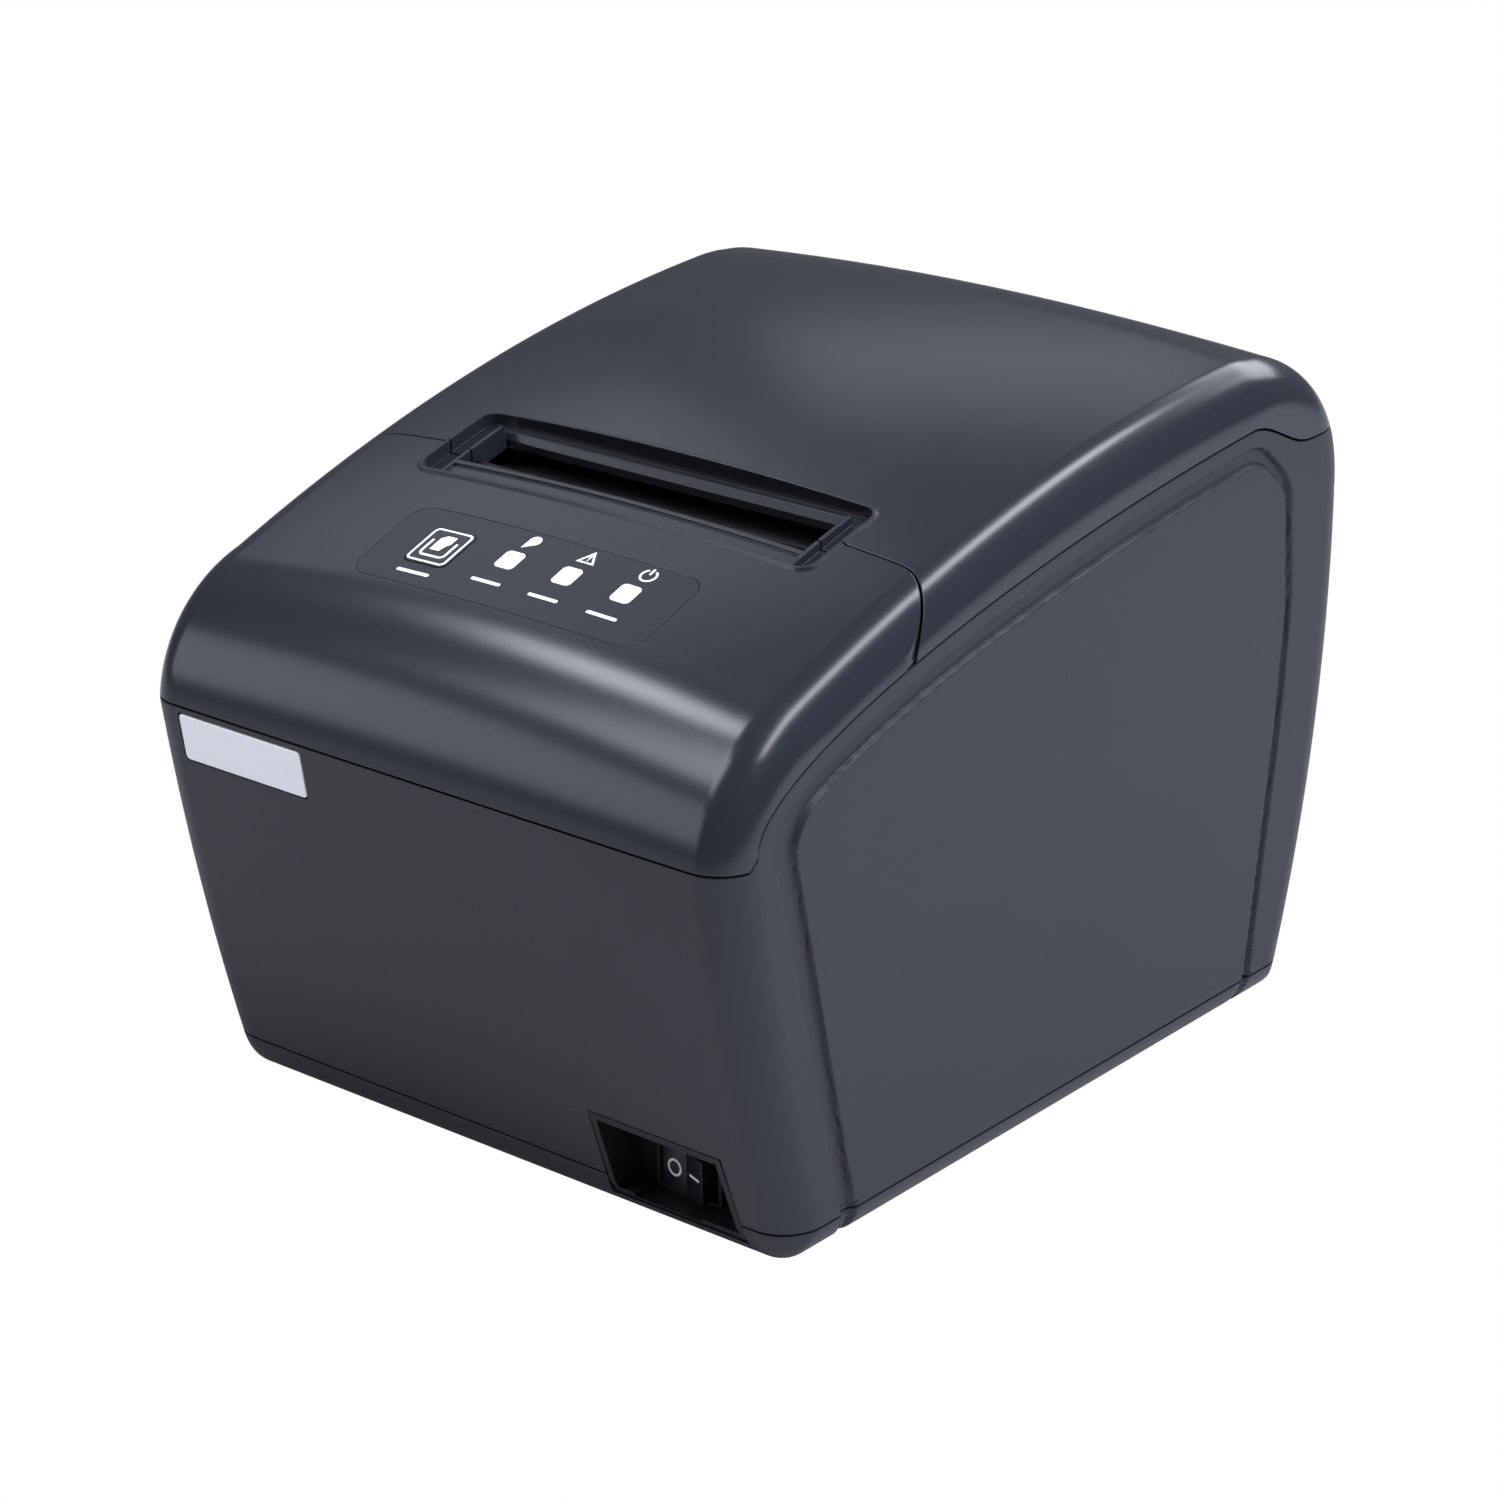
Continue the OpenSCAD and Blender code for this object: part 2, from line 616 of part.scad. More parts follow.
module paper_lid() {
    case_gloss() difference() {
        intersection() {
            union() {
                case_shell();
                slot_block(split_y - 1, slot_rear + skin);
            }
            across(-body_w, body_w) cover_region();
        }
        front_column(part_gap / 2);
        slot_recess();
        throat_cut(slot_rear - 0.5, 3.2, throat_rear, slot_depth + 0.2);
    }
}
module lid_barrel() {
    case_gloss() difference() {
        rod(barrel_r, -barrel_len / 2, barrel_len / 2, hinge);
        rod(hinge_r + run_gap, -barrel_len, barrel_len, hinge);
    }
}
ear_x = barrel_len / 2 + 0.4;
ear_w = 6;
module hinge_ear(s) {
    case_black() scale([s, 1, 1]) difference() {
        union() {
            rod(barrel_r, ear_x, ear_x + ear_w, hinge);
            block([ear_x, hinge.x - barrel_r, hinge.y - 16], [ear_x + ear_w, hinge.x + 4.4, hinge.y]);
        }
        rod(hinge_r + run_gap, ear_x - 1, ear_x + ear_w + 1, hinge);
    }
}
module hinge_shaft() { steel() rod(hinge_r, -ear_x - ear_w, ear_x + ear_w, hinge); }

lid_in = wall + crown(arm_x + arm_t) + 0.5;
arm_y0 = slot_rear + skin + 2.2;
arm_z0 = slot_z - slot_depth - skin - 2.2;
LID_INNER = [for (i = [0:6]) let (y = arm_y0 + (crest_c.x - 2 - arm_y0) * i / 6) [y, top_z(y) - lid_in]];
liner_z = fixed_z + blade_t;
// Side arm of the lid's inner frame: holds the platen bush in front and reaches back to the hinge.
module lid_arm(s) {
    dark_plastic() scale([s, 1, 1]) difference() {
        union() {
            rod(bush_r + arm_rim, arm_x, arm_x + arm_t, platen);
            across(arm_x, arm_x + arm_t) polygon(concat(
                [platen + [-bush_r - 1, 0], [platen.x - 2, arm_z0], [arm_y0, arm_z0]], LID_INNER,
                [[crest_c.x + 12, crest_c.y + 17], [hinge.x - barrel_r - 0.3, hinge.y + 3],
                 [hinge.x - barrel_r - 0.3, hinge.y - 3], [crest_c.x - 10, hinge.y + 2.5],
                 platen + [bush_r + 1, 0]]));
        }
        rod(bush_r, arm_x - 1, arm_x + arm_t + 1, platen);
    }
}
module lid_liner() {
    dark_plastic() across(-arm_x, arm_x) polygon([
        [throat_rear + 1, liner_z], [platen.x + 8, liner_z], [crest_c.x - 2, liner_z + 4.4],
        [crest_c.x - 2, liner_z + 6.2], [platen.x + 8, liner_z + 1.4], [throat_rear + 1, liner_z + 0.9]]);
}
module fixed_blade() {
    steel() block([-throat_half, paper_y + 0.6, fixed_z], [throat_half, platen.x + 6, liner_z]);
}
module platen_roller() {
    soft_rubber() difference() {
        rod(platen_r, -paper_w / 2 - 1.2, paper_w / 2 + 1.2, platen);
        rod(shaft_r, -body_w, body_w, platen);
    }
}
module platen_shaft() { steel() rod(shaft_r, gear_x - 1, side_x + plate_t + 2, platen); }
module platen_bush(s) {
    nylon() scale([s, 1, 1]) difference() {
        rod(bush_r, arm_x, side_x + plate_t + 0.8, platen);
        rod(shaft_r + run_gap, arm_x - 1, side_x + 5, platen);
    }
}
module platen_gear() { nylon() gear(n_platen, -90, gear_x, platen, shaft_r); }
module idler_gear() { nylon() gear(n_idler, idler_phase, gear_x, idler, hinge_r + run_gap); }
module idler_pin() { steel() rod(hinge_r, gear_x - 0.6, -side_x - plate_t, idler); }
module motor_pinion() {
    brass() gear(n_pinion, mesh_phase(idler_phase, n_idler, pinion_dir, n_pinion),
                 gear_x, pinion, pin_r - press_fit);
}
module motor_shaft() { steel() rod(pin_r, gear_x - 1, -side_x + 8, pinion); }
motor_len = 20;
module feed_motor() {
    steel() difference() {
        rod(motor_r, -side_x, -side_x + motor_len, pinion);
        rod(pin_r + run_gap, -side_x - 1, -side_x + 9, pinion);
    }
}
mech_lo = [cut_gear.x - 8, pinion.y - motor_r - 2.5];
mech_hi = [platen.x + 9, cutter_plate_z + plate_t];
notch = bush_r + 0.35;
// Side plate of the mechanism, with an open notch that the platen bush drops into.
module mech_side(s, motor_hole) {
    steel() scale([s, 1, 1]) difference() {
        across(side_x, side_x + plate_t) difference() {
            polygon([mech_lo, [mech_lo.x, cut_gear.y + 4], [sink_front - 2, mech_hi.y], mech_hi,
                     [mech_hi.x, mech_lo.y]]);
            translate([platen.x - notch, platen.y]) square([2 * notch, 20]);
            translate(platen) circle(r = notch, $fn = 48);
        }
        if (motor_hole) rod(pin_r + 2, side_x - 1, side_x + 3, pinion);
    }
}
module mech_cross() {
    steel() difference() {
        block([-side_x, cross_y - plate_t, head_pivot.y - 3], [side_x, cross_y, platen.y + 4]);
        block([cut_x - 1, cross_y - plate_t - 1, cut_gear.y - pitch_r(cut_n) - 2],
              [cut_x + gear_w + 1, cross_y + 1, platen.y + 5]);
    }
    for (s = [-1, 1]) steel()
        block([s * spring_x - spring_tab, cross_y - 0.1, spring_lo - plate_t],
              [s * spring_x + spring_tab, sink_front - 0.3, spring_lo]);
}
module cutter_plate() {
    steel() difference() {
        block([-side_x, cutter_front, cutter_plate_z],
              [side_x, sink_front - 0.6, cutter_plate_z + plate_t]);
        block([cut_x - 0.6, cutter_front - 1, cutter_plate_z - 1],
              [cut_x + gear_w + 0.6, sink_front, cutter_plate_z + 3]);
    }
}
ear_in = head_half - 6;
fin_step = 8;
fin_slot = 2.8;
fin_depth = 2.2;
module heat_sink() {
    aluminium() difference() {
        union() {
            block([-head_half, sink_front, head_pivot.y + 2.6], [head_half, paper_y - head_t, head_top]);
            for (s = [-1, 1]) scale([s, 1, 1]) {
                rod(2 * pin_r, ear_in, head_half, head_pivot);
                block([ear_in, head_pivot.x - 2.4, head_pivot.y],
                      [head_half, head_pivot.x + 2.4, head_pivot.y + 3]);
                block([spring_x - spring_tab, cross_y + 1, spring_hi],
                      [spring_x + spring_tab, sink_front + 1, spring_hi + plate_t]);
            }
        }
        rod(pin_r + run_gap, -side_x, side_x, head_pivot);
        for (i = [-4:4])
            block([i * fin_step - fin_slot / 2, sink_front - 1, spring_hi + plate_t + seat_gap],
                  [i * fin_step + fin_slot / 2, sink_front + fin_depth, head_top + 1]);
    }
}
module print_head() {
    ceramic() block([-head_half, paper_y - head_t, platen.y - 7], [head_half, paper_y, head_top]);
}
module head_shaft() { steel() rod(pin_r, -side_x, side_x, head_pivot); }
// Stand-in for a coil spring between the frame's shelf and the head's tab.
module head_spring(s) {
    steel() translate([s * spring_x, spring_y, spring_lo]) difference() {
        cylinder(r = spring_r, h = spring_hi - spring_lo, $fn = 40);
        translate([0, 0, -1]) cylinder(r = spring_r - wire_t, h = 20, $fn = 40);
    }
}
module cutter_blade() {
    y0 = blade_rest_y - blade_len;
    steel() translate([0, 0, moving_z]) linear_extrude(blade_t) union() {
        polygon([[-throat_half, y0], [throat_half, y0], [throat_half, blade_rest_y],
                 [0, blade_rest_y - 3], [-throat_half, blade_rest_y]]);
        translate([cut_x, rack_front + 2]) square([gear_w, y0 - rack_front]);
    }
}
rack_front = cut_gear.x - blade_travel - 1.2;
rack_rear = cut_gear.x + 2.6;
module cutter_rack() {
    w = rack_pitch / 4 * (1 - backlash);
    foot = rack_line + 0.9 * gear_m;
    nylon() across(cut_x, cut_x + gear_w) union() {
        translate([rack_front, foot]) square([rack_rear - rack_front, moving_z + blade_t / 2 - foot]);
        for (i = [-4:0]) let (c = cut_gear.x + (i + 0.5) * rack_pitch)
            polygon([[c - w - 0.33 * gear_m, foot], [c - w + 0.3 * gear_m, rack_line - 0.8 * gear_m],
                     [c + w - 0.3 * gear_m, rack_line - 0.8 * gear_m], [c + w + 0.33 * gear_m, foot]]);
    }
}
module cutter_gear() { nylon() gear(cut_n, 90, cut_x, cut_gear, pin_r + run_gap); }
module cutter_pin() { steel() rod(pin_r, cut_x - 0.4, side_x, cut_gear); }
module cutter_pinion() {
    brass() gear(n_pinion, mesh_phase(90, cut_n, cut_dir, n_pinion),
                 cut_x, cut_motor, cutter_shaft_r - press_fit);
}
module cutter_motor_shaft() { steel() rod(cutter_shaft_r, cut_x - 8, cut_x + gear_w + 0.6, cut_motor); }
module cutter_motor() {
    steel() difference() {
        rod(cutter_motor_r, 8, cut_x - 1.5, cut_motor);
        rod(cutter_shaft_r + run_gap, cut_x - 9, cut_x, cut_motor);
    }
}
module motor_bracket() {
    steel() difference() {
        block([cut_x - 1.5, cut_motor.x - 6, cut_motor.y - 6],
              [cut_x - 0.6, cross_y - plate_t, cut_motor.y + 6]);
        rod(cutter_shaft_r + 1, cut_x - 4, cut_x + 3, cut_motor);
    }
}
module paper_guide() {
    dark_plastic() across(-side_x, side_x) difference() {
        intersection() {
            difference() {
                translate(platen) circle(r = guide_r + 1.4, $fn = 64);
                translate(platen) circle(r = guide_r, $fn = 64);
            }
            polygon(concat([platen], [for (a = [236, 273, 310]) platen + 2 * guide_r * [cos(a), sin(a)]]));
        }
    }
}
lip_rise = 26;
cheek_rise = 30;
leg_w = 8;
leg_y = 30;
bracket_y = 34;
bracket_z = bucket.y - 10;
// Trough that the paper roll drops into, with cheeks, front legs and rear brackets.
module paper_bucket() {
    dark_plastic() union() {
        across(-bucket_half - bucket_t, bucket_half + bucket_t) union() {
            difference() {
                translate(bucket) circle(r = bucket_r + bucket_t, $fn = 96);
                translate(bucket) circle(r = bucket_r, $fn = 96);
                translate([bucket.x - far, bucket.y]) square([2 * far, far]);
            }
            translate([bucket.x - bucket_r - bucket_t, bucket.y]) square([bucket_t, lip_rise]);
            translate([bucket.x + bucket_r, bucket.y]) square([bucket_t, lip_rise]);
        }
        for (s = [-1, 1]) scale([s, 1, 1]) across(bucket_half, bucket_half + bucket_t) union() {
            intersection() {
                translate(bucket) circle(r = bucket_r + bucket_t, $fn = 96);
                translate([bucket.x - far, bucket.y - far]) square([2 * far, far]);
            }
            translate([bucket.x - bucket_r - bucket_t, bucket.y])
                square([2 * (bucket_r + bucket_t), cheek_rise]);
        }
        for (s = [-1, 1]) scale([s, 1, 1]) {
            block([bucket_half, bucket.x - leg_y - leg_w / 2, base_z + floor_t],
                  [bucket_half + bucket_t, bucket.x - leg_y + leg_w / 2, bracket_z]);
            block([bucket_half, bucket.x + bracket_y - leg_w / 2, bracket_z - 4],
                  [half_w - wall - seat_gap, bucket.x + bracket_y + leg_w / 2, bracket_z]);
        }
    }
}
module mech_bracket(s) {
    dark_plastic() scale([s, 1, 1])
        block([side_x - 1, mech_lo.x + 10, base_z + floor_t], [side_x + plate_t + 1, mech_hi.x, mech_lo.y]);
}
module main_board() {
    board_green() block([-io_half + 1, bucket.x - 16, board_z],
                        [io_half - 1, io_y - seat_gap, board_z + board_t]);
}
post_x = 34;
module board_posts() {
    dark_plastic() for (x = [-post_x, post_x], y = [bucket.x - 10, io_y - 14])
        translate([x, y, base_z + floor_t]) cylinder(r = 3, h = board_z - base_z - floor_t, $fn = 32);
}
// Each chip: its middle across and back, its width, its depth and its height.
CHIPS = [[-2, 1, 14, 14, 1.6], [19, 0, 10, 8, 1.2], [-24, 2, 8, 8, 1.4]];
module board_chips() {
    dark_plastic() {
        for (c = CHIPS)
            block([c[0] - c[2] / 2, bucket.x + c[1] - c[3] / 2, socket_z],
                  [c[0] + c[2] / 2, bucket.x + c[1] + c[3] / 2, socket_z + c[4]]);
    }
}
module buzzer() {
    dark_plastic() translate([36, bucket.x - 6, socket_z]) difference() {
        cylinder(r = 5, h = 6, $fn = 48);
        translate([0, 0, 5]) cylinder(r = 0.8, h = 2, $fn = 24);
    }
}
module capacitor() {
    steel() translate([-36, bucket.x - 6, socket_z]) cylinder(r = 4, h = 7, $fn = 48);
}
module socket(i) {
    s = SOCKETS[i];
    steel() difference() {
        block([s[0] - s[1] / 2, io_y + io_t - socket_len, socket_z],
              [s[0] + s[1] / 2, io_y + io_t, socket_z + s[2]]);
        if (i == 0) translate([s[0], io_y + io_t + 1, socket_z + s[2] / 2]) rotate([90, 0, 0])
            cylinder(r = s[3] / 2, h = mouth_depth + 1, $fn = 48);
        else block([s[0] - s[3] / 2, io_y + io_t - mouth_depth, socket_z + (s[2] - s[4]) / 2],
                   [s[0] + s[3] / 2, io_y + io_t + 1, socket_z + (s[2] + s[4]) / 2]);
    }
}
// Recessed connector panel with a top and two cheeks that reach back to the rear wall.
module io_panel() {
    z0 = rim_z - 2.4;
    z1 = io_top - seat_gap;
    back = rear_y(rim_z) - 0.6;
    dark_plastic() difference() {
        across(-io_half, io_half) polygon([[io_y, z0], [io_y, z1], [rear_y(z1) - 0.6, z1],
            [back, rim_z + seat_gap], [io_y + io_t, rim_z + seat_gap], [io_y + io_t, z0]]);
        block([-io_half + io_t, io_y + io_t, z0 - 1], [io_half - io_t, far, z1 - io_t]);
        for (s = SOCKETS) block([s[0] - s[1] / 2 - seat_gap, io_y - 1, socket_z - board_t - seat_gap],
                                [s[0] + s[1] / 2 + seat_gap, io_y + io_t + 1, socket_z + s[2] + seat_gap]);
    }
}
module switch_bezel() {
    dark_plastic() difference() {
        intersection() {
            pocket_prism(bezel_wall, -far, pocket_y + 2);
            case_form(0.02);
            block([-far, -far, base_z + 1.4], [far, far, far]);
        }
        pocket_prism(0, -far, pocket_y);
        block([rocker_c.x - rocker_w / 2 - 1.2, -far, rocker_c.z - rocker_h / 2 - 1.2],
              [rocker_c.x + rocker_w / 2 + 1.2, far, rocker_c.z + rocker_h / 2 + 1.2]);
    }
}
switch_depth = 12;
rocker_pin_r = 0.9;
rocker_pin_back = 3.4;
flange = 1.1;
// Switch body: a snap-in box with a flange, open at the front for the rocker.
module power_switch() {
    x0 = rocker_c.x - rocker_w / 2;
    x1 = rocker_c.x + rocker_w / 2;
    z0 = rocker_c.z - rocker_h / 2;
    z1 = rocker_c.z + rocker_h / 2;
    dark_plastic() difference() {
        block([x0 - flange, pocket_y - 1, z0 - flange],
              [x1 + flange, pocket_y + switch_depth, z1 + flange]);
        block([x0 - seat_gap, pocket_y - 2, z0 - seat_gap],
              [x1 + seat_gap, pocket_y + 7, z1 + seat_gap]);
        translate([rocker_c.x, pocket_y + rocker_pin_back, z0 - 1.2])
            cylinder(r = rocker_pin_r + run_gap, h = rocker_h + 2.4, $fn = 32);
    }
}
rocker_lift = 3.4;
rocker_root = 2.5;
rocker_depth = 5.4;
module power_rocker() {
    dark_plastic() union() {
        translate(rocker_c - [0, 0, rocker_h / 2]) linear_extrude(rocker_h) polygon([
            [-rocker_w / 2 + 0.6, 0.4], [-rocker_w / 2 + 0.6, -1.2], [0, -1.6],
            [rocker_w / 2 - 1.5, -rocker_lift], [rocker_w / 2 - 0.9, 0.4],
            [rocker_root, rocker_depth], [-rocker_root, rocker_depth]]);
        translate([rocker_c.x, pocket_y + rocker_pin_back, rocker_c.z - rocker_h / 2 - 1])
            cylinder(r = rocker_pin_r, h = rocker_h + 2, $fn = 32);
    }
}

base_tray();
main_housing();
front_cover();
panel_overlay();
tear_bar();
badge_plate();
foot(0);  // foot_fl
foot(1);  // foot_fr
foot(2);  // foot_rl
foot(3);  // foot_rr
base_screw(0);  // screw_fl
base_screw(1);  // screw_fr
base_screw(2);  // screw_rl
base_screw(3);  // screw_rr
led_window(0);  // led_paper
led_window(1);  // led_error
led_window(2);  // led_power
feed_button();
button_plunger();
tact_switch();
union() { key_board(); for (i = [0:2]) panel_led(i); }
switch_bezel();
power_switch();
power_rocker();
paper_lid();
lid_barrel();
lid_arm(-1);  // lid_arm_l
lid_arm(1);  // lid_arm_r
lid_liner();
fixed_blade();
platen_roller();
platen_shaft();
platen_bush(-1);  // platen_bush_l
platen_bush(1);  // platen_bush_r
platen_gear();
hinge_ear(-1);  // hinge_ear_l
hinge_ear(1);  // hinge_ear_r
hinge_shaft();
union() { mech_side(-1, true); idler_pin(); mech_bracket(-1); }  // mech_side_l
union() { mech_side(1, false); cutter_pin(); mech_bracket(1); }  // mech_side_r
union() { mech_cross(); cutter_plate(); motor_bracket(); head_shaft(); }  // mech_frame
heat_sink();
print_head();
head_spring(-1);  // head_spring_l
head_spring(1);  // head_spring_r
feed_motor();
union() { motor_pinion(); motor_shaft(); }
idler_gear();
union() { cutter_blade(); cutter_rack(); }
cutter_gear();
cutter_motor();
union() { cutter_pinion(); cutter_motor_shaft(); }
paper_guide();
paper_bucket();
union() { main_board(); board_posts(); }
union() { board_chips(); buzzer(); capacitor(); }  // board_parts
io_panel();
socket(0);  // power_socket
for (i = [1:3]) socket(i);  // data_sockets
socket(4);  // serial_socket
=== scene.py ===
# %% [markdown]
# # A countertop receipt printer
# The printer is a box of moulded ABS covers around a steel mechanism. The CAD model is loaded as a
# fixed frame. This script keeps its mechanism, gives every part a finish, and swaps the moulded
# covers, which the CAD holds as coarse facets, for smooth shells worked out from the same formulas.

# %% The frame
import json
import math
import bmesh
import bpy
import numpy as np
from mathutils import Matrix, Vector


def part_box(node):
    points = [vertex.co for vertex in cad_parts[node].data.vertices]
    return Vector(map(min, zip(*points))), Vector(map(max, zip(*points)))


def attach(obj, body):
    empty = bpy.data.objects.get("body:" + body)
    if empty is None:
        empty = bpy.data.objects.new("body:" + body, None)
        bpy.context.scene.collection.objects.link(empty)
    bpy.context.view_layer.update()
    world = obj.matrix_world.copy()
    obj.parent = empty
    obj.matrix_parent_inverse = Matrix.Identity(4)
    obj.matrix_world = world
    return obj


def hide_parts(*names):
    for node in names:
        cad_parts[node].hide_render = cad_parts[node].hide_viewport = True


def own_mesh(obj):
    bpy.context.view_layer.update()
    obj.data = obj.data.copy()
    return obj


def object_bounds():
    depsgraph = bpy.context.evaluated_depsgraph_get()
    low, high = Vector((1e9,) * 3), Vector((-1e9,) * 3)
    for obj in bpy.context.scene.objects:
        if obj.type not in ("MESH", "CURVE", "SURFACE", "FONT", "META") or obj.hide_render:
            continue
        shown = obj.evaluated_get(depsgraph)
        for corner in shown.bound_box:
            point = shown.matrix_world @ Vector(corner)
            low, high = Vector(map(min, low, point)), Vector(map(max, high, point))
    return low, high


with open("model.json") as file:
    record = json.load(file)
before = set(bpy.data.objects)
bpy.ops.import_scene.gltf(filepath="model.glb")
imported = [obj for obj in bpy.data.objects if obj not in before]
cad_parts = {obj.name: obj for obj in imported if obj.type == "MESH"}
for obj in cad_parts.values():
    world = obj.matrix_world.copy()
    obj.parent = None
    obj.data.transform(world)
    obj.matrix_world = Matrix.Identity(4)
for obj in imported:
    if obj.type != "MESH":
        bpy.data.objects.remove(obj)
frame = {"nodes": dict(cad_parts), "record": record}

cad_lo, cad_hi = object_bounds()
nodes = frame["nodes"]
MM = 0.001
print("CAD box in mm", [round(v / MM, 2) for v in cad_lo], [round(v / MM, 2) for v in cad_hi])

# %% [markdown]
# ## Camera
# The camera looks down at the right front corner of the case. Its place is given by two angles, a
# roll and a distance, because those are easier to judge than three coordinates. It could also be
# aimed with a Track To constraint, but a matrix keeps the small roll exact.

# %% Camera
AZIMUTH = math.radians(40.70056)
ELEVATION = math.radians(22.09427)
ROLL = math.radians(-1.11009)
DISTANCE = 886.9053
AIM_RIGHT = -3.82789
AIM_UP = 53.72103
AIM_SHIFT = np.array([0.0, 0.64, 2.0])
FOCAL_PX = 4440.074
IMAGE_PX = 1500
SENSOR_MM = 36.0

back = np.array([math.sin(AZIMUTH) * math.cos(ELEVATION),
                 -math.cos(AZIMUTH) * math.cos(ELEVATION), math.sin(ELEVATION)])
level = np.array([math.cos(AZIMUTH), math.sin(AZIMUTH), 0.0])
rise = np.cross(back, level)
cam_x = math.cos(ROLL) * level + math.sin(ROLL) * rise
cam_y = -math.sin(ROLL) * level + math.cos(ROLL) * rise
cam_at = back * DISTANCE + cam_x * AIM_RIGHT + cam_y * AIM_UP + AIM_SHIFT
cam_data = bpy.data.cameras.new("view")
cam_data.sensor_width = SENSOR_MM
cam_data.lens = FOCAL_PX * SENSOR_MM / IMAGE_PX
cam_data.clip_start = 0.05
cam_data.clip_end = 20
camera = bpy.data.objects.new("view", cam_data)
pose = np.eye(4)
pose[:3, 0] = cam_x
pose[:3, 1] = cam_y
pose[:3, 2] = back
pose[:3, 3] = cam_at * MM
camera.matrix_world = Matrix(pose.tolist())
bpy.context.scene.collection.objects.link(camera)
bpy.context.scene.camera = camera
bpy.context.scene.view_settings.view_transform = "Standard"
print("lens", round(cam_data.lens, 2), "mm, camera at", np.round(cam_at).tolist(), "mm")

# %% [markdown]
# ## Making materials
# A material is a small graph of nodes. One function adds a node with its settings and links, and
# another turns an sRGB hex colour to the linear values that the shader works in.

# %% Node and colour helpers
def linear(code):
    """sRGB hex to linear: below 0.04045 divide by 12.92, above it ((c + 0.055) / 1.055) ** 2.4."""
    c = np.array([int(code[i:i + 2], 16) for i in (1, 3, 5)]) / 255
    return (*np.where(c <= 0.04045, c / 12.92, ((c + 0.055) / 1.055) ** 2.4), 1.0)


def add(tree, kind, links=None, **settings):
    """Adds a node, sets its inputs by name or number and its properties, and links its inputs."""
    node = tree.nodes.new(kind)
    for key, value in settings.items():
        if hasattr(node, key):
            setattr(node, key, value)
        else:
            node.inputs[key.replace("_", " ")].default_value = value
    for key, source in (links or {}).items():
        tree.links.new(source, node.inputs[key])
    return node


def new_material(name):
    """A new material whose node tree is empty, and that tree."""
    material = bpy.data.materials.new(name)
    material.use_nodes = True
    material.node_tree.nodes.clear()
    return material, material.node_tree

# %% [markdown]
# ## Moulded plastic
# The covers are ABS out of a steel mould. The mould's spark-eroded texture gives the lower case a
# satin skin, and the hood and lid come from a finer, glossier mould. Both are one material with
# other numbers: a dark colour, a dielectric shader, a fine noise for the texture, a broad noise
# for the slight waviness of a moulded face, and a rounded edge that catches the light.

# %% Moulded plastic
ABS_IOR, BROAD_SCALE, BEVEL_SAMPLES = 1.53, 18.0, 6
GRAIN_DEPTH, WAVE_DEPTH = 0.00004, 0.0004  # in metres


def moulded(name, colour, dark, rough, spread, grain_mm, grain, edge_mm=0.0, wave=0.0, specular=0.5):
    """Plastic: colour varies between two shades and roughness by spread, over a grain in millimetres."""
    material, tree = new_material(name)
    place = add(tree, "ShaderNodeTexCoord").outputs["Object"]
    broad = add(tree, "ShaderNodeTexNoise", {"Vector": place}, Scale=BROAD_SCALE, Detail=3.0)
    fine = add(tree, "ShaderNodeTexNoise", {"Vector": place}, Scale=1.0 / (grain_mm * MM), Detail=2.0)
    tone = add(tree, "ShaderNodeMix", {"Factor": broad.outputs["Fac"]}, data_type="RGBA")
    tone.inputs["A"].default_value = linear(dark)
    tone.inputs["B"].default_value = linear(colour)
    gloss = add(tree, "ShaderNodeMapRange", {"Value": fine.outputs["Fac"]},
                To_Min=rough - spread, To_Max=rough + spread)
    shader = add(tree, "ShaderNodeBsdfPrincipled",
                 {"Base Color": tone.outputs["Result"], "Roughness": gloss.outputs["Result"]}, IOR=ABS_IOR)
    shader.inputs["Specular IOR Level"].default_value = specular
    grains = add(tree, "ShaderNodeBump", {"Height": fine.outputs["Fac"]},
                 Strength=grain, Distance=GRAIN_DEPTH)
    normal = grains.outputs["Normal"]
    if wave:
        swell = add(tree, "ShaderNodeBump", {"Height": broad.outputs["Fac"], "Normal": normal},
                    Strength=wave, Distance=WAVE_DEPTH)
        normal = swell.outputs["Normal"]
    if edge_mm:
        edges = add(tree, "ShaderNodeBevel", samples=BEVEL_SAMPLES, Radius=edge_mm * MM)
        tree.links.new(edges.outputs["Normal"], grains.inputs["Normal"])
    tree.links.new(normal, shader.inputs["Normal"])
    add(tree, "ShaderNodeOutputMaterial", {"Surface": shader.outputs["BSDF"]})
    return material


case_abs = moulded("case_abs_spark_textured", "#26282c", "#212327", 0.42, 0.06, 0.35, 0.35, 0.3, 0.05, 0.4)
gloss_abs = moulded("hood_abs_fine_texture", "#20242b", "#1c2027", 0.22, 0.03, 0.5, 0.10, 0.3, 0.05, 0.5)
inner_abs = moulded("inner_abs_matte", "#151619", "#111214", 0.5, 0.05, 0.4, 0.3, 0.2, specular=0.35)
film = moulded("keypad_film_satin", "#20242b", "#1c2027", 0.30, 0.03, 0.6, 0.08, specular=0.45)
white_abs = moulded("white_acrylic", "#f2f3f2", "#e9ebec", 0.22, 0.03, 0.8, 0.05, 0.15)
badge_white = moulded("badge_white_gloss", "#ffffff", "#f8f9fa", 0.3, 0.04, 0.8, 0.05, 0.2)
rocker_abs = moulded("rocker_polished", "#1a1b1e", "#151619", 0.26, 0.03, 0.6, 0.06, 0.3)
ink = moulded("white_pad_print", "#f4f5f6", "#e6e8ea", 0.5, 0.05, 0.3, 0.1)
print("plastics", [m.name for m in (case_abs, gloss_abs, inner_abs, film, white_abs, ink)])

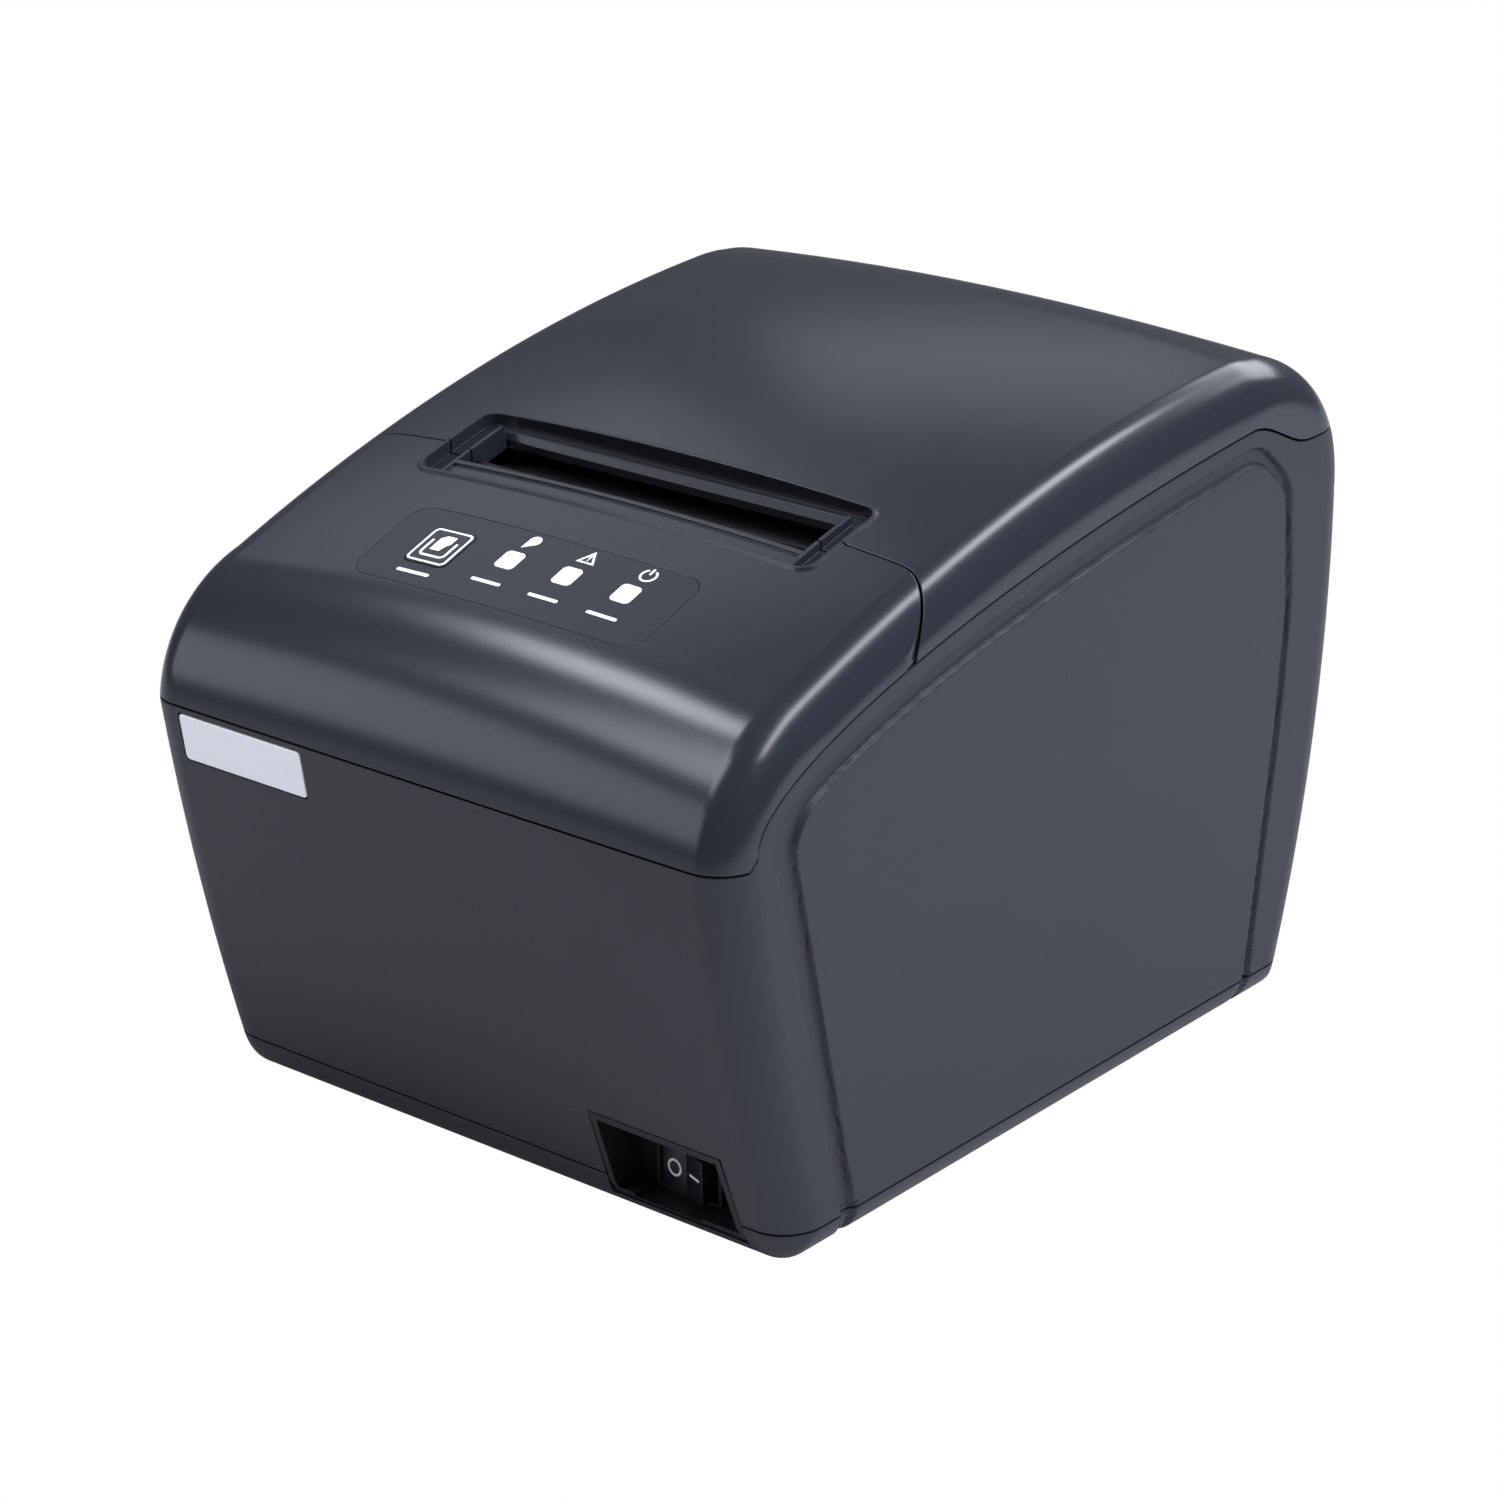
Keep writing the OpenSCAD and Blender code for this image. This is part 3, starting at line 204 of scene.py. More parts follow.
# %% [markdown]
# ## Metal
# The mechanism is mostly zinc-plated sheet steel, brushed along its length by rolling. A metal is
# a Principled shader with Metallic 1 and the default IOR, so its colour is its reflection.

# %% Metal
BRUSH_STRENGTH, BRUSH_DEPTH = 0.15, 0.00003  # the depth is in metres


def metal(name, colour, dark, rough, spread, streak, along=(1.0, 40.0, 40.0)):
    """Metal: noise stretched along one axis varies the colour, the roughness and a shallow bump."""
    material, tree = new_material(name)
    place = add(tree, "ShaderNodeTexCoord").outputs["Object"]
    stretch = add(tree, "ShaderNodeMapping", {"Vector": place})
    stretch.inputs["Scale"].default_value = along
    lines = add(tree, "ShaderNodeTexNoise", {"Vector": stretch.outputs["Vector"]}, Scale=streak, Detail=4.0)
    tone = add(tree, "ShaderNodeMix", {"Factor": lines.outputs["Fac"]}, data_type="RGBA")
    tone.inputs["A"].default_value = linear(dark)
    tone.inputs["B"].default_value = linear(colour)
    gloss = add(tree, "ShaderNodeMapRange", {"Value": lines.outputs["Fac"]},
                To_Min=rough - spread, To_Max=rough + spread)
    bump = add(tree, "ShaderNodeBump", {"Height": lines.outputs["Fac"]},
               Strength=BRUSH_STRENGTH, Distance=BRUSH_DEPTH)
    shader = add(tree, "ShaderNodeBsdfPrincipled",
                 {"Base Color": tone.outputs["Result"], "Roughness": gloss.outputs["Result"],
                  "Normal": bump.outputs["Normal"]}, Metallic=1.0)
    add(tree, "ShaderNodeOutputMaterial", {"Surface": shader.outputs["BSDF"]})
    return material


black_steel = metal("blackened_steel", "#34363a", "#26282b", 0.36, 0.06, 80.0)
zinc_steel = metal("zinc_plated_steel", "#c4c7cb", "#a4a8ad", 0.32, 0.08, 60.0)
spring_steel = metal("spring_wire", "#b9bcc0", "#8e9297", 0.25, 0.05, 200.0)
blade_steel = metal("ground_blade_steel", "#d4d6d9", "#b9bcc0", 0.18, 0.05, 90.0)
sink_aluminium = metal("extruded_aluminium", "#d2d4d8", "#bfc2c6", 0.38, 0.08, 70.0, (60.0, 60.0, 1.0))
contact_gold = metal("gold_plated_contact", "#e8c15a", "#d3a53c", 0.22, 0.05, 200.0)
pinion_brass = metal("machined_brass", "#d9b465", "#b98f45", 0.28, 0.06, 150.0)
print("metals", [m.name for m in (zinc_steel, spring_steel, blade_steel, contact_gold, pinion_brass)])

# %% [markdown]
# ## Rubber, nylon, ceramic and circuit board
# Rubber, nylon and glazed ceramic are dielectrics like the plastics, so the same function makes them
# with other roughness and grain. The board needs a pattern. Its tracks could be modelled one by one,
# but it is hardly seen, and a brick texture gives it fine parallel lines.

# %% Rubber, nylon, board and ceramic
platen_rubber = moulded("ground_silicone_rubber", "#1c1c1d", "#141415", 0.72, 0.08, 0.25, 0.8)
foot_rubber = moulded("moulded_foot_rubber", "#1a1a1b", "#121213", 0.8, 0.06, 0.5, 0.9, 0.4)
gear_nylon = moulded("acetal_gear", "#e4dfd0", "#d6d0bf", 0.38, 0.05, 0.6, 0.15, 0.1)
print_ceramic = moulded("glazed_print_ceramic", "#5a3f2a", "#4b3422", 0.18, 0.03, 0.9, 0.05)


def circuit_board():
    """Solder mask: green lacquer over a brick pattern that stands for the copper tracks under it."""
    material, tree = new_material("solder_mask_green")
    place = add(tree, "ShaderNodeTexCoord").outputs["Object"]
    tracks = add(tree, "ShaderNodeTexBrick", {"Vector": place}, Scale=160.0, Mortar_Size=0.05,
                 Brick_Width=1.7, Row_Height=0.23)
    tracks.inputs["Color1"].default_value = linear("#14532d")
    tracks.inputs["Color2"].default_value = linear("#1a6336")
    tracks.inputs["Mortar"].default_value = linear("#0d3d20")
    shader = add(tree, "ShaderNodeBsdfPrincipled", {"Base Color": tracks.outputs["Color"]},
                 Roughness=0.28, IOR=1.5)
    add(tree, "ShaderNodeOutputMaterial", {"Surface": shader.outputs["BSDF"]})
    return material


board_green = circuit_board()
print("others", [m.name for m in (platen_rubber, foot_rubber, gear_nylon, print_ceramic, board_green)])

# %% [markdown]
# ## The side outline
# Seen from the side, the case is a chain of tangent arcs: the bowed front, the tight brow, the long
# shallow top, the crest and the bowed rear. A drawn Bezier curve could follow it by eye, but arcs
# with real radii give the smooth run of highlights that the tool maker cut.

# %% Driving sizes in millimetres, the same as the CAD's apart from GAP
BODY_W, BODY_D, BODY_H = 145.0, 188.8, 138.5
FOOT_GAP, WALL, BASE_RIM = 2.0, 2.5, 7.2
FRONT_LEAN, BROW_R, CREST_R, REAR_R = 17.2, 34.5, 31.9, 300.0
EDGE_R, CROWN_R = 8.6, 658.0
GAP = 0.5  # the CAD's 0.3 and the roundings of both moulded edges, which widen the dark line
SPLIT_Y, SLOT_W, PAPER_W = -33.6, 96.0, 79.5
A_BROW, A_TOP, A_CREST, A_REAR = 84.0, 20.3, 2.0, -90.0
BOTTOM_R, FRONT_BOW = 4.3, 1.5
HALF_W, FRONT_Y = BODY_W / 2, -BODY_D / 2
sin = lambda a: np.sin(np.radians(a))
cos = lambda a: np.cos(np.radians(a))
TOP_R = ((BODY_D - BROW_R * (sin(A_BROW) - sin(A_TOP)) - CREST_R * (sin(A_CREST) + 1))
         / (sin(A_TOP) - sin(A_CREST)))
BELT_Z = (BODY_H - BROW_R * (cos(A_TOP) - cos(A_BROW)) - TOP_R * (cos(A_CREST) - cos(A_TOP))
          - CREST_R * (1 - cos(A_CREST)))
brow_c = np.array([FRONT_Y + BROW_R * sin(A_BROW), BELT_Z - BROW_R * cos(A_BROW)])
top_c = brow_c + (TOP_R - BROW_R) * np.array([sin(A_TOP), -cos(A_TOP)])
crest_c = top_c + (CREST_R - TOP_R) * np.array([sin(A_CREST), -cos(A_CREST)])
rear_c = np.array([crest_c[0] + CREST_R - REAR_R, crest_c[1]])
rear_drop = math.degrees(math.asin((rear_c[1] - FOOT_GAP) / REAR_R))
front_len = math.hypot(FRONT_LEAN, BELT_Z - FOOT_GAP)
front_r = front_len ** 2 / (8 * FRONT_BOW)
front_half = math.degrees(math.asin(front_len / 2 / front_r))
front_mid = math.degrees(math.atan2(BELT_Z - FOOT_GAP, -FRONT_LEAN))
front_c = (np.array([FRONT_Y + FRONT_LEAN / 2, (FOOT_GAP + BELT_Z) / 2])
           + np.array([sin(front_mid), -cos(front_mid)]) * front_r * cos(front_half))
RIM_Z = FOOT_GAP + BASE_RIM
print("belt at", round(BELT_Z, 2), "top radius", round(TOP_R, 1), "crest centre", crest_c.round(2))

# %% [markdown]
# ## The closed outline
# The arcs are sampled and joined into one closed line, with soft corners at the base. The points lie
# closest near the base, where the grooves of the cheeks leave the case, because a groove that runs
# across wide faces comes out in steps. Subdividing everything evenly would cost far more points.

# %% The closed outline
def arc(c, r, a0, a1, n, ends=(0, 0)):
    """n + 1 points (y, z, heading): the centre plus r turned by the heading, which runs from a0 to a1."""
    a = np.linspace(a0, a1, n + 1)[ends[0]:n + 1 - ends[1]]
    return np.column_stack([c[0] - r * sin(a), c[1] + r * cos(a), a])


def corner(p, q, n):
    """A quadratic Bezier from p to q whose middle point is where their tangents meet."""
    dp, dq = np.array([cos(p[2]), sin(p[2])]), np.array([cos(q[2]), sin(q[2])])
    k = np.linalg.solve(np.column_stack([dp, -dq]), q[:2] - p[:2])[0]
    m = p[:2] + dp * k
    t = np.linspace(0, 1, n + 1)[1:-1, None]
    yz = (1 - t) ** 2 * p[:2] + 2 * t * (1 - t) * m + t ** 2 * q[:2]
    return np.column_stack([yz, p[2] + (q[2] - p[2]) * t])


LOW_SHARE, CORNER_N, CORNER_LEAD = 0.2, 18, 1.4
FLOOR_REAR, FLOOR_FRONT = 57, -58
f1 = front_mid - front_half
f0 = front_mid + front_half - 3 * front_half * BOTTOM_R / front_len
f_low = f0 + (f1 - f0) * LOW_SHARE
front = np.vstack([arc(front_c, front_r, f0, f_low, 40, (0, 1)),
                   arc(front_c, front_r, f_low, f1, 32, (0, 1))])
brow = arc(brow_c, BROW_R, A_BROW, A_TOP, 32)
crown_line = arc(top_c, TOP_R, A_TOP, A_CREST, 70, (1, 1))
crest = arc(crest_c, CREST_R, A_CREST, A_REAR, 40)
r1 = -90 - rear_drop + rear_drop * 1.5 * BOTTOM_R / (rear_c[1] - FOOT_GAP)
r_low = r1 + (A_REAR - r1) * LOW_SHARE
rear = np.vstack([arc(rear_c, REAR_R, A_REAR, r_low, 40, (1, 0)),
                  arc(rear_c, REAR_R, r_low, r1, 40, (1, 0))])
floor_rear = np.array([rear[-1, 0] - CORNER_LEAD * BOTTOM_R, FOOT_GAP, -180.0])
floor_front = np.array([front[0, 0] + CORNER_LEAD * BOTTOM_R, FOOT_GAP, -180.0])
floor_y = np.concatenate([np.linspace(floor_rear[0], FLOOR_REAR, 34)[:-1],
                          np.linspace(FLOOR_REAR, FLOOR_FRONT, 24)[:-1],
                          np.linspace(FLOOR_FRONT, floor_front[0], 30)])
floor_line = np.column_stack([floor_y, np.full(len(floor_y), FOOT_GAP), np.full(len(floor_y), -180.0)])
OUTLINE = np.vstack([front, brow, crown_line, crest, rear, corner(rear[-1], floor_rear, CORNER_N),
                     floor_line, corner(floor_front, front[0] - [0, 0, 360], CORNER_N)])
print("outline of", len(OUTLINE), "points, y from", OUTLINE[:, 0].min().round(2),
      "to", OUTLINE[:, 0].max().round(2))

# %% [markdown]
# ## The case as one closed form
# Each ring of the case is the outline moved inwards. Insetting along the normals would cross itself
# at the sharp bottom corners, so each ring is found from the middle instead: along a ray in a given
# direction, the inset outline lies at the nearest of all its edges' lines moved in by the inset.

# %% Rings and the case form
MIDDLE = np.array([-2.0, 66.0])
FADE_END, FADE_SPAN, UNDERSIDE = 70, 60, -140  # behind, the crown fades out up to heading -FADE_END
GRAZING = 0.02
ray = OUTLINE[:, :2] - MIDDLE
ray = ray / np.linalg.norm(ray, axis=1)[:, None]
edge = np.roll(OUTLINE[:, :2], -1, axis=0) - OUTLINE[:, :2]
edge_n = np.column_stack([-edge[:, 1], edge[:, 0]]) / np.linalg.norm(edge, axis=1)[:, None]
edge_d = ((OUTLINE[:, :2] - MIDDLE) * edge_n).sum(axis=1)
facing = ray @ edge_n.T
share = (np.clip((A_BROW - OUTLINE[:, 2]) / (A_BROW - A_TOP), 0, 1)
         * np.clip((OUTLINE[:, 2] + FADE_END) / FADE_SPAN, 0, 1))
share[OUTLINE[:, 2] < UNDERSIDE] = 0


def inset_outline(inset):
    """(y, z) of the outline moved in: along each ray, the smallest (edge distance - inset) / cosine."""
    along = (edge_d - inset)[None, :] / np.maximum(facing, GRAZING)
    reach = np.where(facing > GRAZING, along, np.inf).min(axis=1)
    return MIDDLE + ray * reach[:, None]


def ring(x, inset):
    """The inset outline at x, lowered by the crown: share * x * x / (2 * crown radius)."""
    yz = inset_outline(inset)
    return np.column_stack([np.full(len(yz), x), yz[:, 0], yz[:, 1] - share * x * x / 2 / CROWN_R])


def grid_faces(rows, count, first=0):
    """Quads between neighbouring closed rings of count points each."""
    i = np.arange(count)
    j = (i + 1) % count
    r = np.arange(rows - 1)[:, None] * count + first
    return np.stack([r + i, r + j, r + count + j, r + count + i], axis=2).reshape(-1, 4)


def case_form(inset, fillet=14, flat=7, cap=(1.0, 0.9, 0.5, 0.05), relief=None):
    """The case moved in by inset: rings across X, then each side's last ring shrunk to its middle.

    Round the edge a ring is inset by r (1 - cos) and stands at h - r + r sin. The relief is a depth
    over the side, taken off X in full on the flat side and by the sine on the rounded edge.
    """
    h, r = HALF_W - inset, EDGE_R - inset
    turn = np.linspace(0, 90, fillet + 1)
    right = np.concatenate([np.linspace(0, h - r, flat + 1)[1:-1], h - r + r * sin(turn)])
    depth = np.concatenate([np.zeros(flat - 1), r * (1 - cos(turn))])
    xs = np.concatenate([-right[::-1], [0], right])
    ins = np.concatenate([depth[::-1], [0], depth]) + inset
    rings = [ring(x, k) for x, k in zip(xs, ins)]
    if relief is not None:
        bend = np.concatenate([np.zeros(flat - 1), sin(turn)])
        for c, side in zip(rings, np.concatenate([-bend[::-1], [0], bend])):
            c[:, 0] -= side * relief(c[:, 1], c[:, 2])
    mid = np.array([0, *MIDDLE])
    caps = []
    for side, last in ((-1, ring(-h, inset + r)), (1, ring(h, inset + r))):
        shrink = [(last - mid) * [1, s, s] + mid for s in cap[1:]]
        if relief is not None:
            for c in shrink:
                c[:, 0] -= side * relief(c[:, 1], c[:, 2])
        caps.append(shrink)
    rings = caps[0][::-1] + rings + caps[1]
    points = np.vstack(rings + [mid + [-h, 0, 0], mid + [h, 0, 0]])
    n = len(OUTLINE)
    quads = grid_faces(len(rings), n)
    i = np.arange(n)
    j = (i + 1) % n
    last = (len(rings) - 1) * n
    fans = [np.column_stack([j, i, np.full(n, len(points) - 2)]),
            np.column_stack([last + i, last + j, np.full(n, len(points) - 1)])]
    return points, quads.tolist() + fans[0].tolist() + fans[1].tolist()


# %% [markdown]
# ## Making a mesh, a prism and a cut
# Three tools make most pieces: a mesh from arrays, a prism over a flat outline, and a Boolean cut.
# The cuts could stay live as modifiers, but each is applied at once, so that the next one starts from
# a plain closed mesh and the tools don't stay in the scene.

# %% Making a mesh, a prism and a cut
def mesh_object(name, points, faces):
    """A mesh object at the origin from points in millimetres and faces."""
    data = bpy.data.meshes.new(name)
    data.from_pydata((np.asarray(points) * MM).tolist(), [], [list(f) for f in faces])
    data.update()
    made = bpy.data.objects.new(name, data)
    bpy.context.scene.collection.objects.link(made)
    return made


def outward(made):
    """Turns the faces of a closed mesh outwards."""
    b = bmesh.new()
    b.from_mesh(made.data)
    bmesh.ops.recalc_face_normals(b, faces=b.faces)
    b.to_mesh(made.data)
    b.free()
    return made


PLACES = {"x": (np.zeros(3), np.eye(3)[[1, 2, 0]]), "z": (np.zeros(3), np.eye(3)),
          "y": (np.zeros(3), np.eye(3)[[0, 2, 1]])}


def prism(name, outline2d, lo, hi, place="z"):
    """A closed prism: outline (u, v) at w = lo and w = hi, put in space by an origin and three axes."""
    origin, axes = PLACES[place] if isinstance(place, str) else place
    uv = np.asarray(outline2d, float)
    n = len(uv)
    flat = np.vstack([np.column_stack([uv, np.full(n, w)]) for w in (lo, hi)])
    points = origin + flat @ axes
    i = np.arange(n)
    j = (i + 1) % n
    sides = np.column_stack([i, j, n + j, n + i]).tolist()
    return outward(mesh_object(name, points, sides + [list(range(n))[::-1], list(range(n, 2 * n))]))


def carve(made, tool, how="DIFFERENCE"):
    """Cuts, joins or meets made with tool by a Boolean modifier, keeps the result and drops the tool."""
    step = made.modifiers.new("cut", "BOOLEAN")
    step.operation = how
    step.object = tool
    step.solver = "MANIFOLD"
    bpy.context.view_layer.update()
    result = bpy.data.meshes.new_from_object(made.evaluated_get(bpy.context.evaluated_depsgraph_get()))
    made.modifiers.clear()
    old = made.data
    made.data = result
    bpy.data.meshes.remove(old)
    spent = tool.data
    bpy.data.objects.remove(tool)
    bpy.data.meshes.remove(spent)
    return made


def finish_piece(made, material, body, node, crease=28.0):
    """Smooths all but the creases, gives the finish, keeps it in the CAD's box and puts it on its body."""
    made.data.polygons.foreach_set("use_smooth", np.ones(len(made.data.polygons), bool))
    made.data.set_sharp_from_angle(angle=math.radians(crease))
    xyz = np.empty(len(made.data.vertices) * 3)
    made.data.vertices.foreach_get("co", xyz)
    xyz = np.clip(xyz.reshape(-1, 3), np.array(cad_lo), np.array(cad_hi))
    made.data.vertices.foreach_set("co", xyz.ravel())
    made.data.materials.clear()
    made.data.materials.append(material)
    weight = made.modifiers.new("even_shading", "WEIGHTED_NORMAL")
    weight.keep_sharp = True
    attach(made, body)
    if node:
        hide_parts(*([node] if isinstance(node, str) else node))
    print(made.name, len(made.data.vertices), "vertices")
    return made

# %% [markdown]
# ## Parting lines and grooves
# The upper covers meet the lower housing along a line that climbs the side, runs under the crown and
# dips to the hinge. It is a Bezier curve and a cosine, so it has no kinks. A shallow groove follows
# it below. The groove could be cut with a Boolean, but a relief worked out from the distance to two
# smooth lines gives it the soft shoulders of a moulding.

# %% The parting line and the groove lines
HINGE = np.array([crest_c[0] + CREST_R - 8.2, crest_c[1] + 3.9])
BARREL_R, SEAT_GAP, FAR = 6.9, 0.3, 188.8
part_start = np.array([FRONT_Y + 8.2, BELT_Z + 2.6])
part_end = crest_c + [-2.5, 17.3]
part_c1 = part_start + [-1.4, 15.7]
part_c2 = part_end + [-71.8, -5.3]
dip_end = np.array([HINGE[0] - BARREL_R + 0.5, HINGE[1] + BARREL_R])


def bezier(t):
    """A cubic Bezier: its four points weighted by the Bernstein polynomials of t."""
    t = np.asarray(t)[:, None]
    return ((1 - t) ** 3 * part_start + 3 * t * (1 - t) ** 2 * part_c1
            + 3 * t * t * (1 - t) * part_c2 + t ** 3 * part_end)


fall = np.linspace(0, 1, 25)[1:, None]
PARTING = np.vstack([part_start + [-2, -2.2], bezier(np.linspace(0, 1, 61) ** 1.3),
                     np.hstack([part_end[0] + (dip_end[0] - part_end[0]) * fall,
                                part_end[1] + (dip_end[1] - part_end[1]) * (1 - np.cos(np.pi * fall)) / 2]),
                     [HINGE[0], HINGE[1] + BARREL_R]])


SOFT_STEP, SOFT_REACH, BLOCK = 0.5, 20, 4000


def soft_line(points, spread=2.2):
    """A polyline resampled every SOFT_STEP, then blurred along its length by a Gaussian of that spread."""
    points = np.asarray(points, float)
    run = np.concatenate([[0], np.cumsum(np.linalg.norm(np.diff(points, axis=0), axis=1))])
    at = np.arange(0, run[-1], SOFT_STEP)
    line = np.column_stack([np.interp(at, run, points[:, k]) for k in (0, 1)])
    k = np.exp(-0.5 * (np.arange(-SOFT_REACH, SOFT_REACH + 1) * SOFT_STEP / spread) ** 2)
    k /= k.sum()
    padded = np.pad(line, ((SOFT_REACH, SOFT_REACH), (0, 0)), mode="reflect", reflect_type="odd")
    return np.column_stack([np.convolve(padded[:, c], k, mode="valid") for c in (0, 1)])


def groove_line(d, shift, first):
    """A groove's edge: up the front, under the parting line by d, round the crest and down the rear."""
    x, z = crest_c
    under = bezier((np.arange(first - 1, 13) / 12) ** 1.3) + [0.35 * d, -d]
    return soft_line(np.vstack([
        [FRONT_Y + 32.2 + shift, FOOT_GAP - 6], [FRONT_Y + 12.1 + shift * 1.6, BELT_Z + 1.5], under,
        [x + 2.5, z + 15.4 - d], [x + 12.3 - d * 0.5, z + 5.2 - d * 0.4], [x + 13.8 - d * 0.6, z - 22],
        [x + 10.9 - d * 0.6, z - 47], [x - 0.5 - d * 0.5, FOOT_GAP - 6]]))


def inside_by(line, y, z):
    """Signed distance to a closed line, positive inside: nearest segment's distance, signed by crossings."""
    a, b = line, np.roll(line, -1, axis=0)
    d = b - a
    out = np.empty(len(y))
    for i in range(0, len(y), BLOCK):
        p = np.column_stack([y[i:i + BLOCK], z[i:i + BLOCK]])[:, None, :]
        t = np.clip(((p - a) * d).sum(axis=2) / (d * d).sum(axis=1), 0, 1)
        near = np.sqrt((((a + t[..., None] * d) - p) ** 2).sum(axis=2)).min(axis=1)
        up = (a[:, 1] > p[..., 1]) != (b[:, 1] > p[..., 1])
        cross = a[:, 0] + (p[..., 1] - a[:, 1]) * d[:, 0] / np.where(d[:, 1] == 0, 1e-9, d[:, 1])
        inside = (up & (p[..., 0] < cross)).sum(axis=1) % 2 == 1
        out[i:i + BLOCK] = np.where(inside, near, -near)
    return out


GROOVE_DEPTH, SHOULDER = 1.1, 0.6
groove_outer = groove_line(2.9, 0.0, 3)
groove_inner = groove_line(6.9, 3.6, 5)


def groove_relief(y, z):
    """Depth times a smooth step inside the outer line times a smooth step outside the inner line."""
    outer = np.clip(inside_by(groove_outer, y, z) / SHOULDER, 0, 1)
    inner = np.clip(-inside_by(groove_inner, y, z) / SHOULDER, 0, 1)
    return GROOVE_DEPTH * (outer ** 2 * (3 - 2 * outer)) * (inner ** 2 * (3 - 2 * inner))


print("parting of", len(PARTING), "points, groove lines of", len(groove_outer), "and", len(groove_inner))

# %% [markdown]
# ## Regions of the covers
# Each cover is the case met with a flat region, drawn from the side or from above and carried
# through. The regions stop half a gap short of the parting line, which leaves the dark line between
# the covers. A painted line would be simpler, but it would stay on the surface when the lid opens.

# %% Regions of the covers, seen from the side and from above
def around_hinge(r, a):
    """Points at radius r round the hinge, at angles a in degrees."""
    a = np.atleast_1d(a)
    return HINGE + r * np.column_stack([cos(a), sin(a)])


SEAT_ANGLE, SKIRT_ANGLE = -60, 15
housing_region = np.vstack([
    [-FAR, RIM_Z + GAP / 2], [-FAR, BELT_Z - GAP / 2], PARTING - [0, GAP / 2],
    around_hinge(BARREL_R, np.linspace(90, SEAT_ANGLE, 25)[1:]), around_hinge(FAR, SEAT_ANGLE),
    [FAR, RIM_Z + GAP / 2]])
cover_region = np.vstack([
    [-FAR, FAR], [-FAR, BELT_Z + GAP / 2], PARTING + [0, GAP / 2],
    around_hinge(BARREL_R + SEAT_GAP, np.linspace(90, SKIRT_ANGLE, 16)),
    around_hinge(FAR, SKIRT_ANGLE), [FAR, FAR]])
CORNER_R = 12.0


def hood_plan(grow):
    """The hood from above: a straight rear edge whose corners are arcs, moved out by grow."""
    r = CORNER_R + grow
    a = np.linspace(90, 0, 24)
    right = np.column_stack([HALF_W - CORNER_R + r * cos(a), SPLIT_Y - CORNER_R + r * sin(a)])
    right = np.vstack([right, [HALF_W + 6, SPLIT_Y - CORNER_R], [HALF_W + 6, FRONT_Y - 5]])
    return np.vstack([right, right[::-1] * [-1, 1]])


def rounded(lo, hi, r, n=8):
    """A rectangle from lo to hi with corners of radius r."""
    a = np.linspace(0, 90, n + 1)
    quarter = r * np.column_stack([cos(a), sin(a)])
    left, right, low, high = lo[0] + r, hi[0] - r, lo[1] + r, hi[1] - r
    c = [(right, high, 0), (left, high, 90), (left, low, 180), (right, low, 270)]
    return np.vstack([[x, y] + quarter @ np.array([[cos(q), sin(q)], [-sin(q), cos(q)]]) for x, y, q in c])


print("housing region", housing_region.shape, "cover region", cover_region.shape)

# %% [markdown]
# ## Frames on the case
# The slot, the keypad and the badge each lie in a tilted plane. A frame is an origin and three axes,
# so that their outlines can be drawn flat, in millimetres, and then put in place.

# %% Tilted frames
def tilted(x, y, z, angle):
    """Origin and axes (right, up the slope, outwards) of a plane turned about X by angle degrees."""
    axes = [[1, 0, 0], [0, cos(angle), sin(angle)], [0, -sin(angle), cos(angle)]]
    return np.array([x, y, z], float), np.array(axes)


def sideways(place):
    """The same frame with its axes in the order up the slope, outwards, right, to extrude along X."""
    return place[0], place[1][[1, 2, 0]]


def top_z(y):
    """Height of the top over the middle: the top arc, or the brow arc in front of it."""
    y = np.asarray(y, float)
    join = brow_c[0] - BROW_R * sin(A_TOP)
    on_top = top_c[1] + np.sqrt(TOP_R ** 2 - (y - top_c[0]) ** 2)
    on_brow = brow_c[1] + np.sqrt(np.maximum(BROW_R ** 2 - (y - brow_c[0]) ** 2, 0))
    return np.where(y < join, on_brow, on_top)


crown = lambda x: x * x / 2 / CROWN_R
front_y = lambda z: front_c[0] - np.sqrt(front_r ** 2 - (z - front_c[1]) ** 2)
SLOT_FRONT, SLOT_REAR = SPLIT_Y - 9.9, SPLIT_Y + 10.5
THROAT_REAR, THROAT_HALF = SPLIT_Y + 8.2, PAPER_W / 2 + 2.8
SLOT_DEPTH, SHELF_DEPTH, SKIN = 5.0, 2.2, 2.0
slot_tilt = math.degrees(math.atan((top_z(SLOT_REAR) - top_z(SLOT_FRONT)) / (SLOT_REAR - SLOT_FRONT)))
slot_frame = tilted(0, SPLIT_Y, top_z(SPLIT_Y), slot_tilt)
along_slot = lambda y: (y - SPLIT_Y) / cos(slot_tilt)
PANEL_Y = FRONT_Y + 30.6
panel_angle = math.degrees(math.asin((top_c[0] - PANEL_Y) / TOP_R))
panel_frame = tilted(0, PANEL_Y, top_z(PANEL_Y), panel_angle)
BADGE_X, BADGE_W, BADGE_H, BADGE_T = -HALF_W + 10.1, 32.0, 9.6, 0.9
badge_z0, badge_z1 = BELT_Z - BADGE_H - 1, BELT_Z - 1
badge_lean = math.degrees(math.atan2(badge_z1 - badge_z0, front_y(badge_z1) - front_y(badge_z0)))
badge_frame = tilted(BADGE_X, front_y(badge_z0), badge_z0, badge_lean)
print("slot tilt", round(slot_tilt, 2), "keypad slope", round(panel_angle, 2),
      "badge lean", round(badge_lean, 2))

# %% [markdown]
# ## The case's forms
# Each cover is the case form met with its region, then hollowed by the same form moved in by the
# wall. Booleans keep the wall even everywhere, which lofting an inner skin by hand would not.

